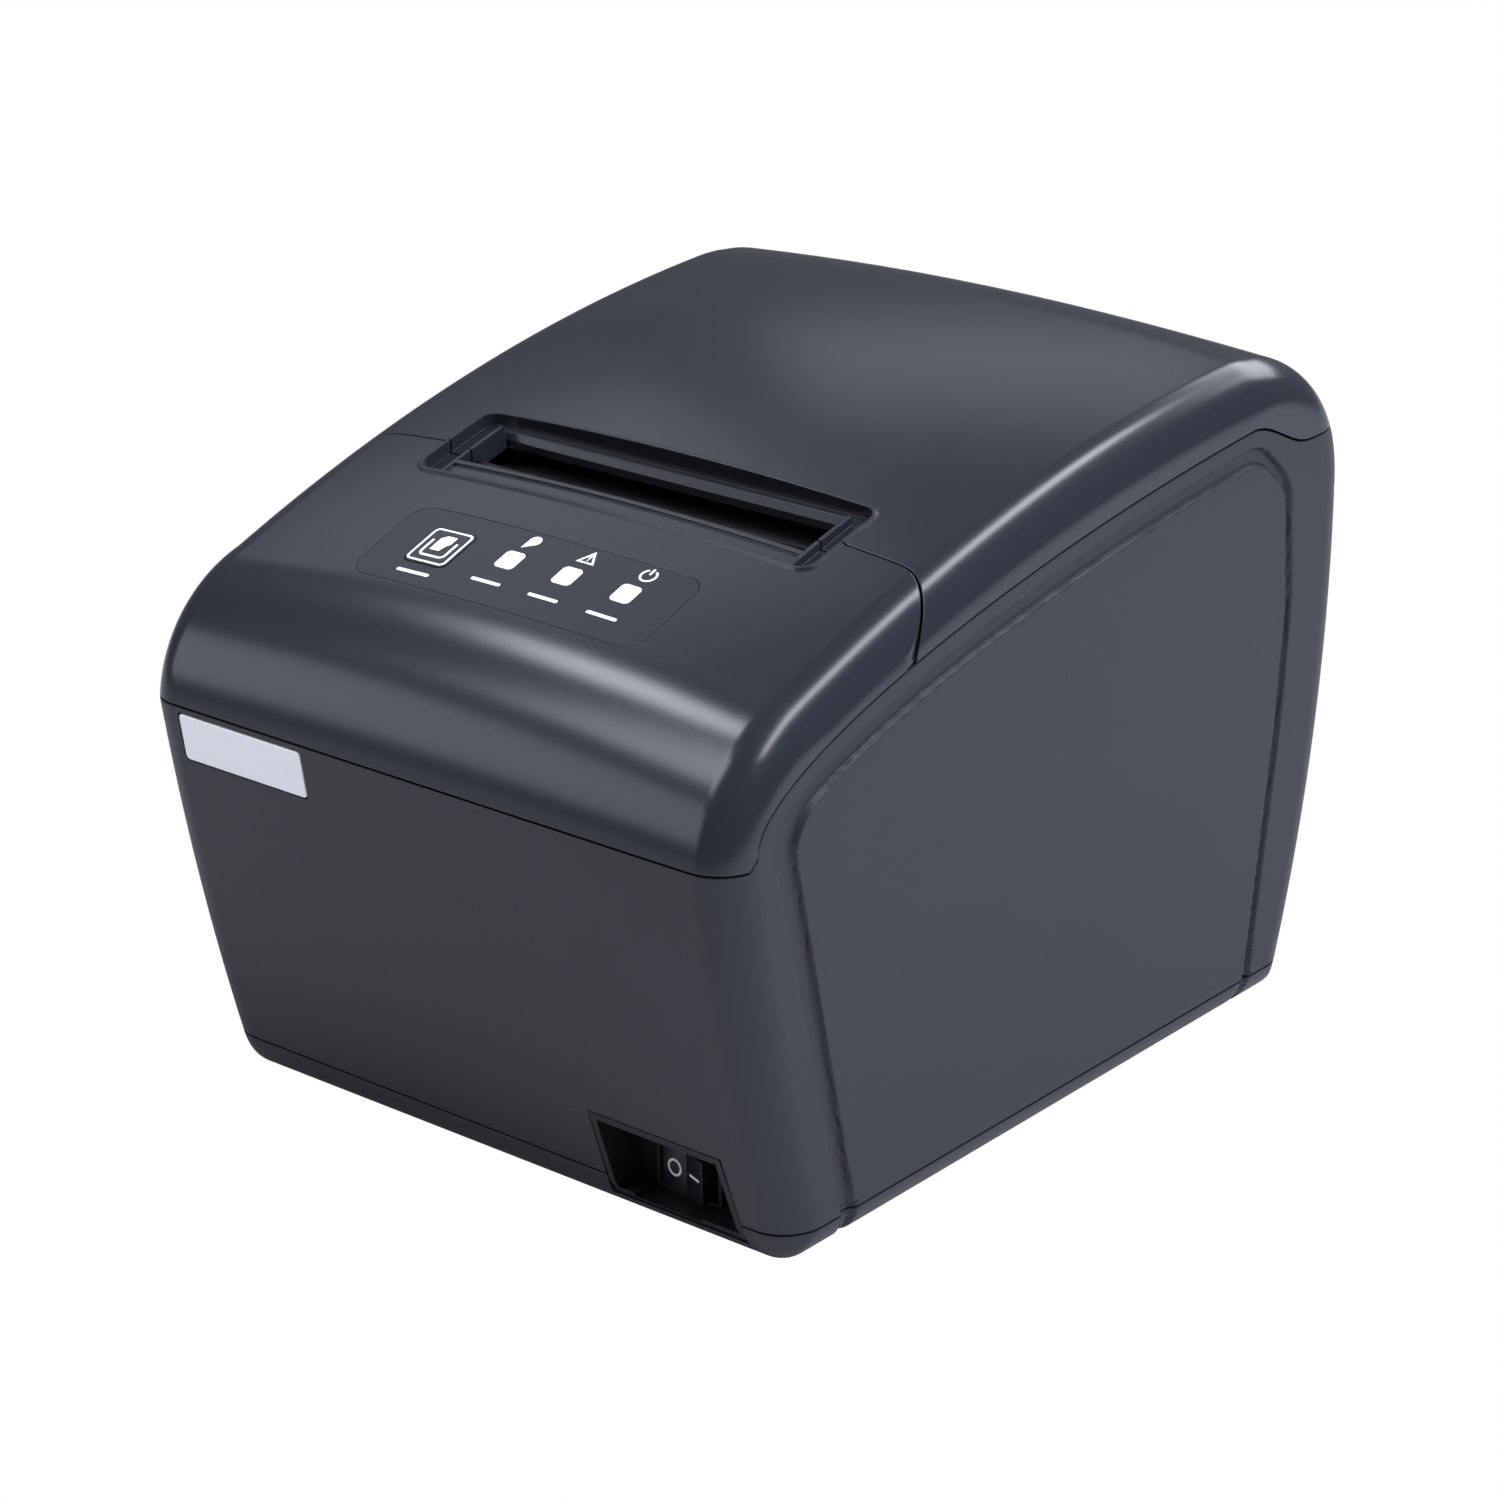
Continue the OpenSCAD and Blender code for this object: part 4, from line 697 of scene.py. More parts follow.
# %% The grooved form
CAP_DENSE, CAP_END = 0.62, 0.03  # the grooves lie in the outer part of a side, so its rings are close
CAP_FINE = tuple(np.concatenate([np.linspace(1, CAP_DENSE, 92), np.linspace(CAP_DENSE, CAP_END, 10)[1:]]))
fine_points, fine_faces = case_form(0.0, cap=CAP_FINE, relief=groove_relief)
inner_points, inner_faces = case_form(WALL, fillet=8, flat=5)
plain_points, plain_faces = case_form(0.0)


def grooved_case(name):
    """A new copy of the grooved case form."""
    return outward(mesh_object(name, fine_points, fine_faces))


def hollow():
    """The inside of the covers, as a tool."""
    return outward(mesh_object("hollow", inner_points, inner_faces))


pocket_lo, pocket_hi = np.array([29.4, 6.6]), np.array([58.8, 21.8])
POCKET_Y = float(front_y(pocket_lo[1])) + 7.5
BEZEL_WALL = 1.4


def pocket(grow):
    """The switch pocket seen from the front, narrower at its top, moved out by grow."""
    (x0, z0), (x1, z1) = pocket_lo - grow, pocket_hi + grow
    return np.array([[x0 + 1, z0], [x1 + 0.8, z0], [x1 - 1, z1], [x0, z1]])


print("form", len(fine_points), "points; pocket back at y", round(POCKET_Y, 2))

# %% [markdown]
# ## Lower housing
# The housing is moulded in one piece, with openings for the switch, the connectors, the badge and the
# hinge. Each is cut with one or two prisms. Drawing the shell with its openings from the start would
# be possible, but a cut per opening can be moved or resized by itself.

# %% Lower housing
IO_HALF, IO_Y, IO_TOP = 50.0, crest_c[0] + 10, FOOT_GAP + 38
BARREL_HALF, EAR_GAP, EAR_W, BADGE_OUT, PLATE_R = 60, 0.4, 6, 0.15, 0.9
EAR_OUT = BARREL_HALF + EAR_GAP + EAR_W
housing = grooved_case("lower_housing")
carve(housing, prism("side_view", housing_region, -100, 100, "x"), "INTERSECT")
carve(housing, hollow())
carve(housing, prism("ear_seat", around_hinge(BARREL_R + SEAT_GAP, np.linspace(0, 352.5, 48)),
                     -EAR_OUT - SEAT_GAP, EAR_OUT + SEAT_GAP, "x"))
barrel_room = np.vstack([HINGE, around_hinge(FAR, SEAT_ANGLE), [FAR, FAR], [HINGE[0], FAR]])
carve(housing, prism("barrel_seat", barrel_room, -BARREL_HALF - SEAT_GAP, BARREL_HALF + SEAT_GAP, "x"))
carve(housing, prism("switch_opening", pocket(BEZEL_WALL + SEAT_GAP), -FAR, POCKET_Y + 3, "y"))
io_edge = IO_HALF + SEAT_GAP
io_room = [[-io_edge, -10], [io_edge, -10], [io_edge, IO_TOP], [-io_edge, IO_TOP]]
carve(housing, prism("connector_opening", io_room, IO_Y - 1, FAR, "y"))
badge_room = rounded((-SEAT_GAP, -SEAT_GAP), (BADGE_W + SEAT_GAP, BADGE_H + SEAT_GAP), PLATE_R)
carve(housing, prism("badge_seat", badge_room, -BADGE_T + BADGE_OUT - SEAT_GAP, 5, badge_frame))
finish_piece(housing, case_abs, "base", "main_housing")

# %% [markdown]
# ## Base tray
# The tray closes the case from below: a floor and a low rim, with seats for four rubber feet and four
# screws and a row of vents. It is the grooved form cut off at the rim, so that the grooves run on
# through it, less the inside above its floor.

# %% Base tray
FOOT_SEAT_R, HEAD_SEAT_R, SCREW_HOLE_R, SEAT_DEPTH = 6.3, 3.4, 1.7, 1.2
VENT_PITCH, VENT_HALF, VENT_R, VENT_REAR, VENT_FRONT = 8, 1.5, 1.4, 10, -20
FEET = [(-54.5, -63.9), (54.5, -63.9), (-54.5, 60.5), (54.5, 60.5)]
SCREWS = [(-57.5, -54.4), (57.5, -54.4), (-57.5, 48.5), (57.5, 48.5)]


def disc(x, y, r, n=48):
    """A circle of n points."""
    a = np.linspace(0, 360, n, endpoint=False)
    return np.column_stack([x + r * cos(a), y + r * sin(a)])


tray = grooved_case("base_pan")
below_rim = [[-FAR, -1], [FAR, -1], [FAR, RIM_Z - GAP / 2], [-FAR, RIM_Z - GAP / 2]]
carve(tray, prism("below_rim", below_rim, -100, 100, "x"), "INTERSECT")
inside = hollow()
above_floor = [[-FAR, FOOT_GAP + WALL], [FAR, FOOT_GAP + WALL], [FAR, 30], [-FAR, 30]]
carve(inside, prism("above_floor", above_floor, -100, 100, "x"), "INTERSECT")
carve(tray, inside)
for x, y in FEET:
    carve(tray, prism("foot_seat", disc(x, y, FOOT_SEAT_R), -1, FOOT_GAP + SEAT_DEPTH))
for x, y in SCREWS:
    carve(tray, prism("screw_head_seat", disc(x, y, HEAD_SEAT_R), -1, FOOT_GAP + SEAT_DEPTH))
    carve(tray, prism("screw_hole", disc(x, y, SCREW_HOLE_R), -1, 8))
carve(tray, prism("switch_opening", pocket(BEZEL_WALL + SEAT_GAP), -FAR, POCKET_Y + 3, "y"))
for i in range(-4, 5):
    x = i * VENT_PITCH
    vent = rounded((x - VENT_HALF, VENT_FRONT), (x + VENT_HALF, VENT_REAR), VENT_R)
    carve(tray, prism("vent", vent, -1, 8))
finish_piece(tray, case_abs, "base", "base_tray")

# %% [markdown]
# ## Hood and lid
# The two upper covers share the crowned top. The split between them runs straight behind the front
# lip of the paper slot and turns forward at both sides. The slot's lips are solid blocks under the
# skin, cut by a rounded recess and then by the sloping throat that the paper leaves through. A low
# moulded rim runs round the recess. In front of the throat the recess is only a shallow shelf, a thin
# fin stands at each end of the throat, and beyond the fins the recess is deep, with a flat floor. The
# heights of the rim, the fins and the shelf are measured from the skin, so that they follow the
# crown. They could be sculpted, but cuts give steps whose heights are numbers.

# %% Slot tools
def skin_piece(made, top, base):
    """Keeps the part of a prism between two insets of the case form."""
    points, faces = case_form(top)
    carve(made, outward(mesh_object("skin_top", points, faces)), "INTERSECT")
    points, faces = case_form(base, fillet=8)
    return carve(made, outward(mesh_object("skin_base", points, faces)))


def lip_block(y0, y1):
    """The solid under the recess between two places along the slot, kept under the skin."""
    block = prism("lip", [[-SLOT_W / 2 - SKIN, along_slot(y0)], [SLOT_W / 2 + SKIN, along_slot(y0)],
                          [SLOT_W / 2 + SKIN, along_slot(y1)], [-SLOT_W / 2 - SKIN, along_slot(y1)]],
                  -SLOT_DEPTH - SKIN, 10, slot_frame)
    points, faces = case_form(WALL / 2, fillet=6, flat=5)
    return carve(block, outward(mesh_object("under_skin", points, faces)), "INTERSECT")


def slot_outline(grow):
    """The recess from above, moved out by grow."""
    return rounded((-SLOT_W / 2 - grow, along_slot(SLOT_FRONT) - grow),
                   (SLOT_W / 2 + grow, along_slot(SLOT_REAR) + grow), 3.0 + grow)


def recess():
    """The rounded recess around the slot, down to the flat floors at both its ends."""
    return prism("recess", slot_outline(0), -SHELF_DEPTH - crown(SLOT_W / 2), 20, slot_frame)


def slot_area(half, y0, y1):
    """A block over the middle of the slot, from y0 to y1."""
    a, b = along_slot(y0), along_slot(y1)
    return prism("area", [[-half, a], [half, a], [half, b], [-half, b]], -20, 20, slot_frame)


def under_skin(made, depth):
    """Takes away from a tool all that lies deeper than that under the skin."""
    points, faces = case_form(depth, fillet=8)
    return carve(made, outward(mesh_object("deeper", points, faces)))


def throat(profile):
    """Opens the recess to the paper's way: down a profile of places and depths, then straight down."""
    steps = [[along_slot(y), -d] for y, d in profile]
    end = steps[-1][0]
    way = end + math.copysign(30, end - steps[0][0])
    return prism("throat", [[steps[0][0], 10]] + steps + [[end, -20], [way, -20], [way, 10]],
                 -THROAT_HALF, THROAT_HALF, sideways(slot_frame))


BEAD = ((0.95, 0.2), (0.6, 0.4))  # how far each layer of the rim reaches out, and how high it stands
STEP_Y, STEP_W, SHELF_SKIN, STEP_SKIN = SPLIT_Y - 4.6, 0.8, 1.4, 0.9


def upper_cover(name, front_part):
    """The case form above the parting line, hollowed, with its lip of the slot."""
    made = outward(mesh_object(name, plain_points, plain_faces))
    carve(made, hollow())
    ends = (SLOT_FRONT - SKIN, SPLIT_Y + 1) if front_part else (SPLIT_Y - 1, SLOT_REAR + SKIN)
    carve(made, lip_block(*ends), "UNION")
    for grow, rise in BEAD:
        carve(made, skin_piece(prism("bead", slot_outline(grow), -4, 10, slot_frame), -rise, 0.6), "UNION")
    carve(made, prism("side_view", cover_region, -100, 100, "x"), "INTERSECT")
    plan = prism("plan", hood_plan(-GAP / 2 if front_part else GAP / 2), -10, BODY_H + 20)
    return carve(made, plan, "INTERSECT" if front_part else "DIFFERENCE")


# %% [markdown]
# ## Lid
# The lid carries the rear lip of the slot. The recess is first cut to the height of the fins, then to
# its floor beyond them and between them, and the throat comes last. One tool in the shape of all that
# would do it in a single cut, but this order needs only plain blocks.

# %% Lid
lid = upper_cover("paper_door", False)
carve(lid, under_skin(recess(), STEP_SKIN))
carve(lid, carve(recess(), slot_area(THROAT_HALF + STEP_W, SPLIT_Y - 5, THROAT_REAR)))
carve(lid, carve(recess(), slot_area(THROAT_HALF, SPLIT_Y - 5, SLOT_REAR + 5), "INTERSECT"))
carve(lid, throat([(SLOT_REAR - 0.5, 3.2), (THROAT_REAR, SLOT_DEPTH + 0.2)]))
finish_piece(lid, gloss_abs, "lid", "paper_lid")

# %% [markdown]
# ## Hood
# The hood is fixed and carries the front lip of the slot and the keypad. The film's seat is cut with
# a tool whose floor is the case form moved in, so that it bends with the top. A seat with a flat
# floor would be simpler, but deeper in the middle. Two posts below hold the key board.

# %% Hood
POSTS, POST_R, POST_LO, POST_HI, HOLE_GAP, FILM_GAP = (-31.5, 28.5), 2.2, -7.2, -2, 0.2, 0.12
BUTTON_R, FILM_R = 1.4, 4
FILM_LO, FILM_HI = (-36.5, -10.6), (33.8, 10.6)
BUTTON_AT, BUTTON_SIZE = np.array([-22.6, 0.5]), np.array([10.4, 10.4])
LED_AT = [np.array([-6.3 + 14 * i, 1.9]) for i in range(3)]
WINDOW, WINDOW_R = np.array([4.5, 5.0]), 1.0


def plate_at(at, size, r, grow=0.0):
    """A rounded rectangle of that size round a place, moved out by grow."""
    h = np.asarray(size) / 2 + grow
    return rounded(np.asarray(at) - h, np.asarray(at) + h, r + grow)


def film_shape(grow):
    """The keypad film's outline, moved out by grow."""
    return rounded((FILM_LO[0] - grow, FILM_LO[1] - grow), (FILM_HI[0] + grow, FILM_HI[1] + grow),
                   FILM_R + grow, 16)


def keypad_openings(made):
    """Cuts the button's and the windows' openings."""
    hole = plate_at(BUTTON_AT, BUTTON_SIZE, BUTTON_R, HOLE_GAP)
    carve(made, prism("button_hole", hole, -12, 12, panel_frame))
    for at in LED_AT:
        carve(made, prism("window_hole", plate_at(at, WINDOW, WINDOW_R, FILM_GAP), -12, 12, panel_frame))
    return made


hood = upper_cover("front_hood", True)
carve(hood, under_skin(recess(), STEP_SKIN))
shelf = carve(recess(), slot_area(THROAT_HALF, SLOT_FRONT - 5, STEP_Y - STEP_W), "INTERSECT")
carve(hood, under_skin(shelf, SHELF_SKIN))
carve(hood, carve(recess(), slot_area(THROAT_HALF + STEP_W, SLOT_FRONT - 5, SLOT_REAR + 5)))
carve(hood, throat([(STEP_Y, 0.0), (STEP_Y + 0.4, 3.4), (SPLIT_Y - 1.75, SLOT_DEPTH - 0.6)]))
film_seat = prism("film_seat", film_shape(FILM_GAP), -6, 6, panel_frame)
points, faces = case_form(0.45, fillet=6)
carve(film_seat, outward(mesh_object("seat_floor", points, faces)))
carve(hood, film_seat)
for x in POSTS:
    post = prism("post", disc(x, 0, POST_R, 32), POST_LO, POST_HI, panel_frame)
    carve(hood, post, "UNION")
keypad_openings(hood)
finish_piece(hood, gloss_abs, "base", "front_cover")

# %% [markdown]
# ## Keypad film
# A printed film covers the keypad. It is the slice of a prism between two insets of the case form, so
# it is as curved as the hood under it. A flat sheet with a Shrinkwrap modifier would need many
# vertices to do the same.

# %% Keypad film
keypad = prism("keypad_film", film_shape(0.0), -6, 6, panel_frame)
points, faces = case_form(0.03)
carve(keypad, outward(mesh_object("film_top", points, faces)), "INTERSECT")
points, faces = case_form(0.35)
carve(keypad, outward(mesh_object("film_base", points, faces)))
keypad_openings(keypad)
finish_piece(keypad, film, "base", "panel_overlay")

# %% [markdown]
# ## Feed button, windows and prints
# The button's cap, the light windows and the white prints all lie in the curved top. Each is a flat
# outline carried through the case form: what lies between two slightly different insets of the form
# is a thin curved piece. Bending flat pieces with a modifier would not follow the crown as closely.

# %% Button and windows
cap_shape = plate_at(BUTTON_AT, BUTTON_SIZE, BUTTON_R)
cap = skin_piece(prism("button_cap", cap_shape, -6, 6, panel_frame), -0.14, 3.0)
carve(cap, prism("plunger_boss", disc(*BUTTON_AT, 2.2, 32), -5.6, -2.5, panel_frame), "UNION")
finish_piece(cap, gloss_abs, "feed_key", "feed_button")
for at, node in zip(LED_AT, ("led_paper", "led_error", "led_power")):
    window = skin_piece(prism("window_" + node, plate_at(at, WINDOW, WINDOW_R), -8, 6, panel_frame), 0.0, 5.4)
    finish_piece(window, white_abs, "base", node)

# %% [markdown]
# ## Outlines of the printed marks
# The pictograms are white ink. Each is drawn flat from arcs and short polygons, strokes as bands of
# even width and frames as rings of four loops. Text objects could draw them from a symbol font, but a
# font might be missing on another machine.

# %% Outlines of the printed marks
def band(path, width):
    """A strip of that width along an open path: the path moved to its left and its right by half of it."""
    path = np.asarray(path, float)
    step = np.gradient(path, axis=0)
    side = np.column_stack([-step[:, 1], step[:, 0]]) / np.linalg.norm(step, axis=1)[:, None] * width / 2
    return np.vstack([path - side, (path + side)[::-1]])


def bow(at, r, a0, a1, n=40):
    """Points of an arc round a place, from angle a0 to a1 in degrees."""
    a = np.linspace(a0, a1, n)
    return np.column_stack([at[0] + r * cos(a), at[1] + r * sin(a)])


def loop_frame(outer, inner, lo, hi):
    """A flat ring's points and faces: outer and inner loops at lo and hi, joined round its section."""
    n = len(outer)
    loops = [(outer, lo), (outer, hi), (inner, hi), (inner, lo)]
    points = np.vstack([np.column_stack([uv, np.full(n, w)]) for uv, w in loops])
    faces = grid_faces(5, n) % (4 * n)
    return points, faces.tolist()


def slab(outline2d, lo, hi):
    """Points and faces of a prism in its own plane."""
    n = len(outline2d)
    points = np.vstack([np.column_stack([outline2d, np.full(n, w)]) for w in (lo, hi)])
    faces = grid_faces(2, n).tolist() + [list(range(n))[::-1], list(range(n, 2 * n))]
    return points, faces


def marks(name, slabs, loops, lo, hi, place):
    """One mesh of separate prisms and rings, put in space by an origin and three axes."""
    parts = [slab(s, lo, hi) for s in slabs] + [loop_frame(a, b, lo, hi) for a, b in loops]
    points, faces, first = [], [], 0
    for p, f in parts:
        points.append(p)
        faces += [[i + first for i in face] for face in f]
        first += len(p)
    return outward(mesh_object(name, place[0] + np.vstack(points) @ place[1], faces))


STROKE = 0.42


def paper_icon(at):
    """A roll seen from its end with its loose sheet: a disc drawn out to a tip below its left side."""
    return [np.vstack([bow(at + [0.2, 0.5], 1.35, -70, 185, 32), at + [-1.2, -2.1]])]


def warning_icon(at):
    """A triangle's outline, and the bar and the dot inside it."""
    corners = lambda k: at + np.array([[0, 2.0 - k * 2.0], [-2.1 + k * 1.73, -1.6 + k],
                                       [2.1 - k * 1.73, -1.6 + k]])
    bar = at + np.array([[-0.2, 0.8], [-0.16, -0.35], [0.16, -0.35], [0.2, 0.8]])
    dot = bow(at + [0, -0.72], 0.17, 0, 330, 12)
    return [bar, dot], [(corners(0), corners(0.42))]


def power_icon(at):
    """An arc that is open at its top, and the bar in the opening."""
    bar = at + np.array([[-STROKE / 2, 2.0], [-STROKE / 2, 0.3], [STROKE / 2, 0.3], [STROKE / 2, 2.0]])
    return [band(bow(at, 1.6, 120, 420), STROKE), bar]


def label_bar(x, v, length):
    """A short plain bar where a caption would stand."""
    return rounded((x - length / 2, v - 0.4), (x + length / 2, v + 0.4), 0.3, 4)


ICON_UP, LABEL_UP = 7.8, -5.0
icon_at = [np.array([at[0] + 0.6, ICON_UP]) for at in LED_AT]
warn_slabs, warn_loops = warning_icon(icon_at[1])
labels = [label_bar(at[0], LABEL_UP, 7.0) for at in LED_AT] + [label_bar(BUTTON_AT[0], -7.4, 8.0)]
film_print = marks("film_print", paper_icon(icon_at[0]) + warn_slabs + power_icon(icon_at[2]) + labels,
                   warn_loops, -6, 6, panel_frame)
finish_piece(skin_piece(film_print, -0.04, 0.05), ink, "base", None)
tray_line = BUTTON_AT + np.vstack([[-3.0, 1.6], bow([-2.0, -1.9], 1.0, 180, 270, 8),
                                   bow([2.0, -1.9], 1.0, 270, 360, 8), [3.0, 1.6]])
sheet = BUTTON_AT + np.array([[-1.7, -1.2], [0.6, -1.2], [1.0, 0.2], [1.7, 1.2], [1.7, 3.2],
                              [-0.6, 3.2], [-1.7, 2.2]])
button_print = marks("button_print", [band(tray_line, 0.55), sheet],
                     [(plate_at(BUTTON_AT, BUTTON_SIZE - 0.7, 1.2),
                       plate_at(BUTTON_AT, BUTTON_SIZE - 1.6, 0.8))],
                     -6, 6, panel_frame)
finish_piece(skin_piece(button_print, -0.19, -0.1), ink, "feed_key", None)

# %% [markdown]
# ## Badge plate
# The badge is a bare moulded plate with a softened rim. A Bevel modifier could round it, but loops of
# the same outline, drawn in and raised along a quarter circle, leave no thin faces at its corners.

# %% Badge
def cushion(name, shape, lo, hi, edge_mm, place):
    """A plate with a rounded rim: loops of shape(-e + e cos a) at hi - e + e sin a, closed at both ends."""
    a = np.linspace(0, 90, 7)
    loops = [(shape(-edge_mm * (1 - cos(k))), hi - edge_mm + edge_mm * sin(k)) for k in a]
    loops = [(shape(0), lo)] + loops
    n = len(loops[0][0])
    points = np.vstack([np.column_stack([uv, np.full(n, w)]) for uv, w in loops])
    faces = grid_faces(len(loops), n).tolist()
    faces += [list(range(n))[::-1], list(range((len(loops) - 1) * n, len(loops) * n))]
    return outward(mesh_object(name, place[0] + points @ place[1], faces))


badge_shape = lambda grow: rounded((-grow, -grow), (BADGE_W + grow, BADGE_H + grow), PLATE_R + grow)
finish_piece(cushion("badge_blank", badge_shape, BADGE_OUT - BADGE_T, BADGE_OUT, 0.3, badge_frame),
             badge_white, "base", "badge_plate")

# %% [markdown]
# ## Marks on the rocker
# The rocker's two marks are printed on its faces: a ring for off and a bar for on. They could be
# painted in its material, but thin pieces that ride on the rocker keep sharp edges at any distance.

# %% Marks on the rocker
MARK_LO, MARK_HI = -0.1, 0.04
ROCKER_C = np.array([42.2, POCKET_Y, 11.2])
ROCKER_W = 13.4


def face_frame(p, q):
    """Middle and axes (along, up, outwards) of the rocker's face between two points of its section."""
    p, q = np.asarray(p, float), np.asarray(q, float)
    along = np.array([*(q - p), 0.0]) / np.linalg.norm(q - p)
    rise = np.array([0.0, 0.0, 1.0])
    return ROCKER_C + [*(p + q) / 2, 0.0], np.array([along, rise, np.cross(along, rise)])


off_frame = face_frame((-ROCKER_W / 2 + 0.6, -1.2), (0, -1.6))
on_frame = face_frame((0, -1.6), (ROCKER_W / 2 - 1.5, -3.4))
off_ring = (bow([0, 0], 1.75, 0, 352.5, 48), bow([0, 0], 1.3, 0, 352.5, 48))
off_mark = marks("rocker_off_mark", [], [off_ring], MARK_LO, MARK_HI, off_frame)
finish_piece(off_mark, ink, "rocker", None)
on_bar = rounded((-1.7, -0.25), (1.7, 0.25), 0.2, 4)
on_mark = marks("rocker_on_mark", [on_bar], [], MARK_LO, MARK_HI, on_frame)
finish_piece(on_mark, ink, "rocker", None)

# %% [markdown]
# ## Head springs
# Two springs press the print head on the roller. The CAD holds them as tubes, so a coil of wire takes
# the place of each. A Screw modifier could wind it, but a circle carried along a helix is as short to
# write.

# %% Head springs
TURN_STEPS, WIRE_SIDES = 28, 8


def coil(name, at, r, wire, z0, z1, turns):
    """A wire round the helix (r cos t, r sin t, rising evenly): a circle at each step, ends closed."""
    t = np.linspace(0, 1, turns * TURN_STEPS + 1)[:, None]
    a = np.linspace(0, 360, WIRE_SIDES, endpoint=False)[None, :]
    reach = r + wire * cos(a)
    level = z0 + wire + (z1 - z0 - 2 * wire) * t + wire * sin(a)
    spin = 360 * turns * t
    points = np.stack([at[0] + reach * cos(spin), at[1] + reach * sin(spin), level], axis=2)
    count = len(t) * WIRE_SIDES
    faces = grid_faces(len(t), WIRE_SIDES).tolist()
    faces += [list(range(WIRE_SIDES))[::-1], list(range(count - WIRE_SIDES, count))]
    return outward(mesh_object(name, points.reshape(-1, 3), faces))


WIRE_R, COIL_TURNS, PRESSED = 0.35, 5, 0.9
for node in ("head_spring_l", "head_spring_r"):
    lo, hi = np.array(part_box(node)) / MM
    middle = (lo + hi) / 2
    spring = coil(node + "_coil", middle, (hi[0] - lo[0]) / 2 - WIRE_R, WIRE_R, lo[2], hi[2], COIL_TURNS)
    finish_piece(spring, spring_steel, "base", node, 60.0)
    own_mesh(spring)

# %% [markdown]
# ## Contacts of the rear sockets
# The rear sockets are empty shells in the CAD, so their tongues, contact strips, pins and nuts go in
# here. They repeat in rows, so each is a short outline set down at evenly spaced places. An Array
# modifier would do the same for one row, but not for rows of different pitch in one mesh.

# %% Contacts of the rear sockets
SOCKET_Z, MOUTH_FRONT, MOUTH_DEPTH = 11.4, IO_Y + 1.5, 10.0
mouth_floor = MOUTH_FRONT - MOUTH_DEPTH - 0.5
POWER, DATA, NETWORK = (-41.0, SOCKET_Z + 6.5), (-23.5, SOCKET_Z + 6.7), (-4.5, SOCKET_Z + 6.8)
DRAWER, SERIAL = (13.5, SOCKET_Z + 5.5), (35.5, SOCKET_Z + 6.3)


BAR_R = 0.08


def row(middle, rise, pitch, count):
    """Places in a row across the socket, a rise above its middle."""
    return [(middle[0] + pitch * (i - (count - 1) / 2), middle[1] + rise) for i in range(count)]


def bars(places, width, height):
    """A rectangle round each place."""
    return [rounded((x - width / 2, z - height / 2), (x + width / 2, z + height / 2), BAR_R, 2)
            for x, z in places]


tongues = (bars([DATA], 5.6, 3.0) + bars(row(NETWORK, 3.1, 1, 1), 9.6, 2.0)
           + bars(row(DRAWER, 2.6, 1, 1), 7.4, 2.0))
strips = (bars(row(DATA, 1.5, 2.6, 2) + row(DATA, -1.5, 2.6, 2), 1.1, 0.3)
          + bars(row(NETWORK, 2.1, 1.02, 8) + row(DRAWER, 1.6, 1.02, 6), 0.46, 0.4))
pins = [disc(x, z, 0.55, 16) for x, z in row(SERIAL, 1.42, 2.77, 5) + row(SERIAL, -1.42, 2.77, 4)]
pins += [disc(POWER[0] + 2.3 * cos(a), POWER[1] + 2.3 * sin(a), 0.7, 16) for a in (90, 210, 330)]
nuts = [(bow(at, 2.7, 0, 300, 6), bow(at, 1.3, 0, 300, 6)) for at in row(SERIAL, 0, 25.0, 2)]
inserts = [disc(*POWER, 4.4)] + bars([SERIAL], 16.4, 7.8)
for name, slabs, loops, depth, material, slot in (
        ("socket_tongues", tongues, [], 7.5, inner_abs, "dark_plastic"),
        ("socket_inserts", inserts, [], 3.5, inner_abs, "dark_plastic"),
        ("socket_strips", strips, [], 7.0, contact_gold, "brass"),
        ("socket_pins", pins, [], 8.5, contact_gold, "brass")):
    made = marks(name, slabs, loops, mouth_floor, mouth_floor + depth, PLACES["y"])
    finish_piece(made, material, "base", None)
finish_piece(marks("serial_nuts", [], nuts, MOUTH_FRONT - 0.3, MOUTH_FRONT + 2.4, PLACES["y"]),
             zinc_steel, "base", None)

# %% [markdown]
# ## Finishes of the mechanism
# The mechanism comes straight from the CAD, so it only needs its materials. Each part's slot names
# the material. A few parts differ from the rest of their slot and are set by name.

# %% CAD nodes keep their shape and get their finish
FINISH = {"case_black": case_abs, "case_gloss": gloss_abs, "overlay_film": film, "white_plastic": white_abs,
          "black_rubber": foot_rubber, "dark_plastic": inner_abs, "nylon": gear_nylon, "brass": pinion_brass,
          "aluminium": sink_aluminium, "circuit_board": board_green, "ceramic": print_ceramic,
          "chip_plastic": inner_abs, "steel": zinc_steel}
slot_of = {s["node"]: s["material_slot"] for s in frame["record"]["subparts"]}
for name, node in nodes.items():
    node.data.materials.clear()
    node.data.materials.append(FINISH[slot_of[name]])
nodes["platen_roller"].data.materials[0] = platen_rubber
nodes["power_rocker"].data.materials[0] = rocker_abs
nodes["cutter_blade"].data.materials[0] = blade_steel
for name in ("fixed_blade", "tear_bar"):
    nodes[name].data.materials[0] = black_steel
print("finished", len(nodes), "CAD nodes")

# %% [markdown]
# ## Stage and light
# A white sweep and soft lamps, as in a product studio. The sweep could be a curved sheet, but a large
# flat floor and a world of the same white look alike from any side. Both are white to camera rays
# alone: every other ray meets grey paper and a dim room. The narrow edge strip is mirrored along the
# right edge of the covers. Two lamps light the case without being mirrored in it, because their broad
# reflections would hide the shape of the hood's side.

# %% Stage and light
FLOOR_HALF, ROOM_STRENGTH = 4000, 0.2


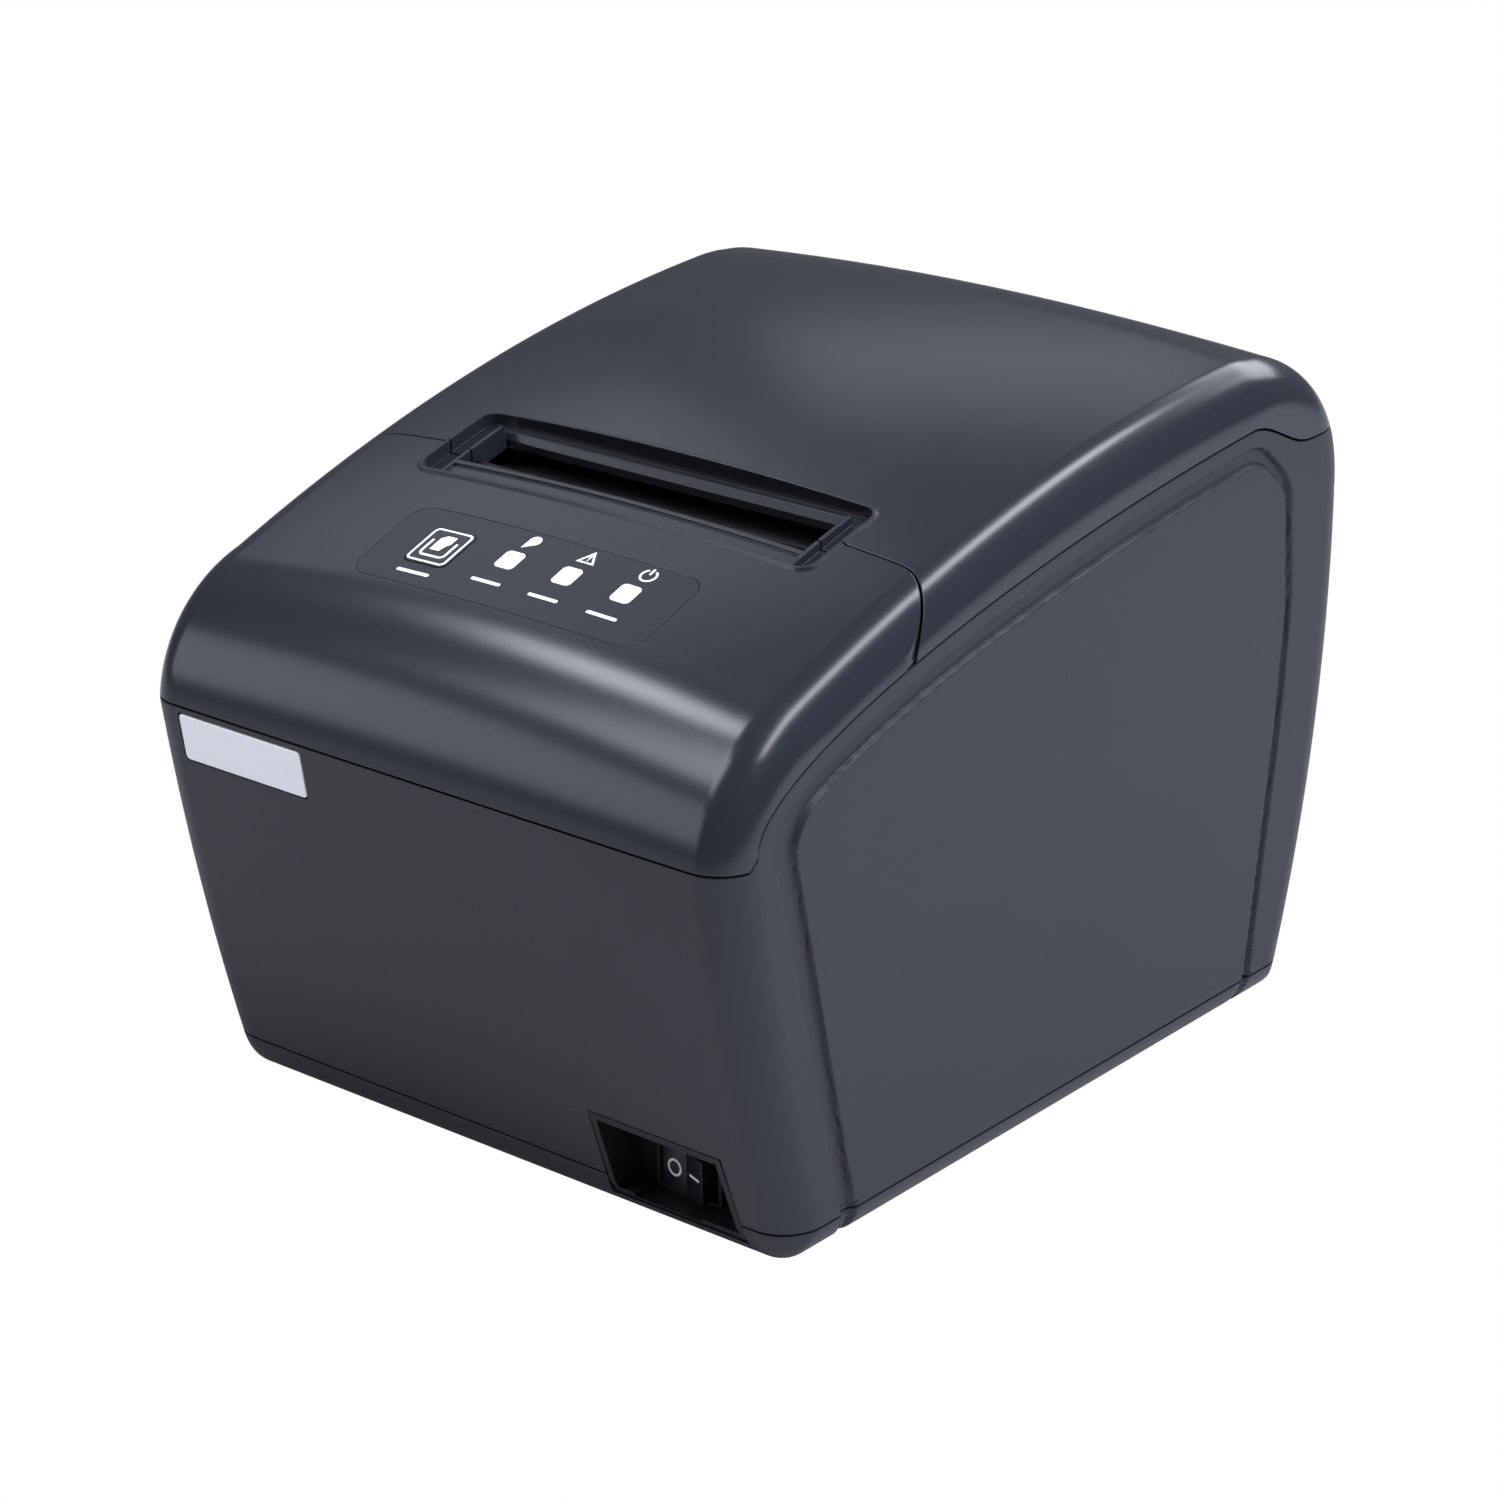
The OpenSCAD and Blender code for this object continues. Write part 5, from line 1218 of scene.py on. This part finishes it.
def stage_white():
    """White to camera rays alone. To all other rays it is grey paper, which keeps its shadows and bounce."""
    material, tree = new_material("studio_paper")
    path = add(tree, "ShaderNodeLightPath")
    paper = add(tree, "ShaderNodeBsdfDiffuse")
    paper.inputs["Color"].default_value = linear("#b4b6ba")
    glow = add(tree, "ShaderNodeEmission", Strength=1.0)
    mix = add(tree, "ShaderNodeMixShader", {0: path.outputs["Is Camera Ray"], 1: paper.outputs["BSDF"],
                                            2: glow.outputs["Emission"]})
    add(tree, "ShaderNodeOutputMaterial", {"Surface": mix.outputs["Shader"]})
    return material


floor_corners = [[x * FLOOR_HALF, y * FLOOR_HALF, 0] for x, y in ((-1, -1), (1, -1), (1, 1), (-1, 1))]
floor = mesh_object("studio_floor", floor_corners, [[0, 1, 2, 3]])
floor.data.materials.append(stage_white())
world = bpy.data.worlds.new("studio")
bpy.context.scene.world = world
world.use_nodes = True
tree = world.node_tree
tree.nodes.clear()
path = add(tree, "ShaderNodeLightPath")
room = add(tree, "ShaderNodeBackground", Strength=ROOM_STRENGTH)
room.inputs["Color"].default_value = linear("#e4e8ee")
seen = add(tree, "ShaderNodeBackground", Strength=1.0)
mix = add(tree, "ShaderNodeMixShader", {0: path.outputs["Is Camera Ray"], 1: room.outputs["Background"],
                                        2: seen.outputs["Background"]})
add(tree, "ShaderNodeOutputWorld", {"Surface": mix.outputs["Shader"]})


def softbox(name, at, aim, width, height, watts, colour="#ffffff", mirrored=True):
    """A rectangular lamp at a place, aimed at another, in millimetres, and whether gloss shows it."""
    data = bpy.data.lights.new(name, "AREA")
    data.shape = "RECTANGLE"
    data.size, data.size_y = width * MM, height * MM
    data.energy = watts
    data.color = linear(colour)[:3]
    lamp = bpy.data.objects.new(name, data)
    lamp.visible_glossy = mirrored
    lamp.location = Vector(at) * MM
    lamp.rotation_euler = (Vector(aim) - Vector(at)).to_track_quat("-Z", "Y").to_euler()
    bpy.context.scene.collection.objects.link(lamp)
    return lamp


LIT = (0, 0, 80)
COOL = "#f2f5ff"
softbox("key_left", (-522, -149, 927), (38, -79, 107), 180, 240, 1.5, COOL)
softbox("sky_front", (-420, -620, 900), LIT, 450, 450, 3.2, COOL)
softbox("sky_left", (-640, 300, 760), LIT, 400, 400, 0.35, COOL)
softbox("fill_left", (-620, -760, 340), LIT, 700, 400, 1.6, COOL)
softbox("top_right", (700, -100, 800), LIT, 300, 700, 12.6, COOL, False)
softbox("edge_strip", (334, 223, 862), LIT, 1060, 120, 4.6, COOL)
softbox("rim_right", (750, 350, 520), LIT, 250, 900, 3.2, "#e8eeff", False)
softbox("top_rear", (0, 900, 650), LIT, 600, 300, 3, COOL)
softbox("rear_left", (-500, 710, 635), (30, 30, 135), 300, 220, 0.14, COOL)
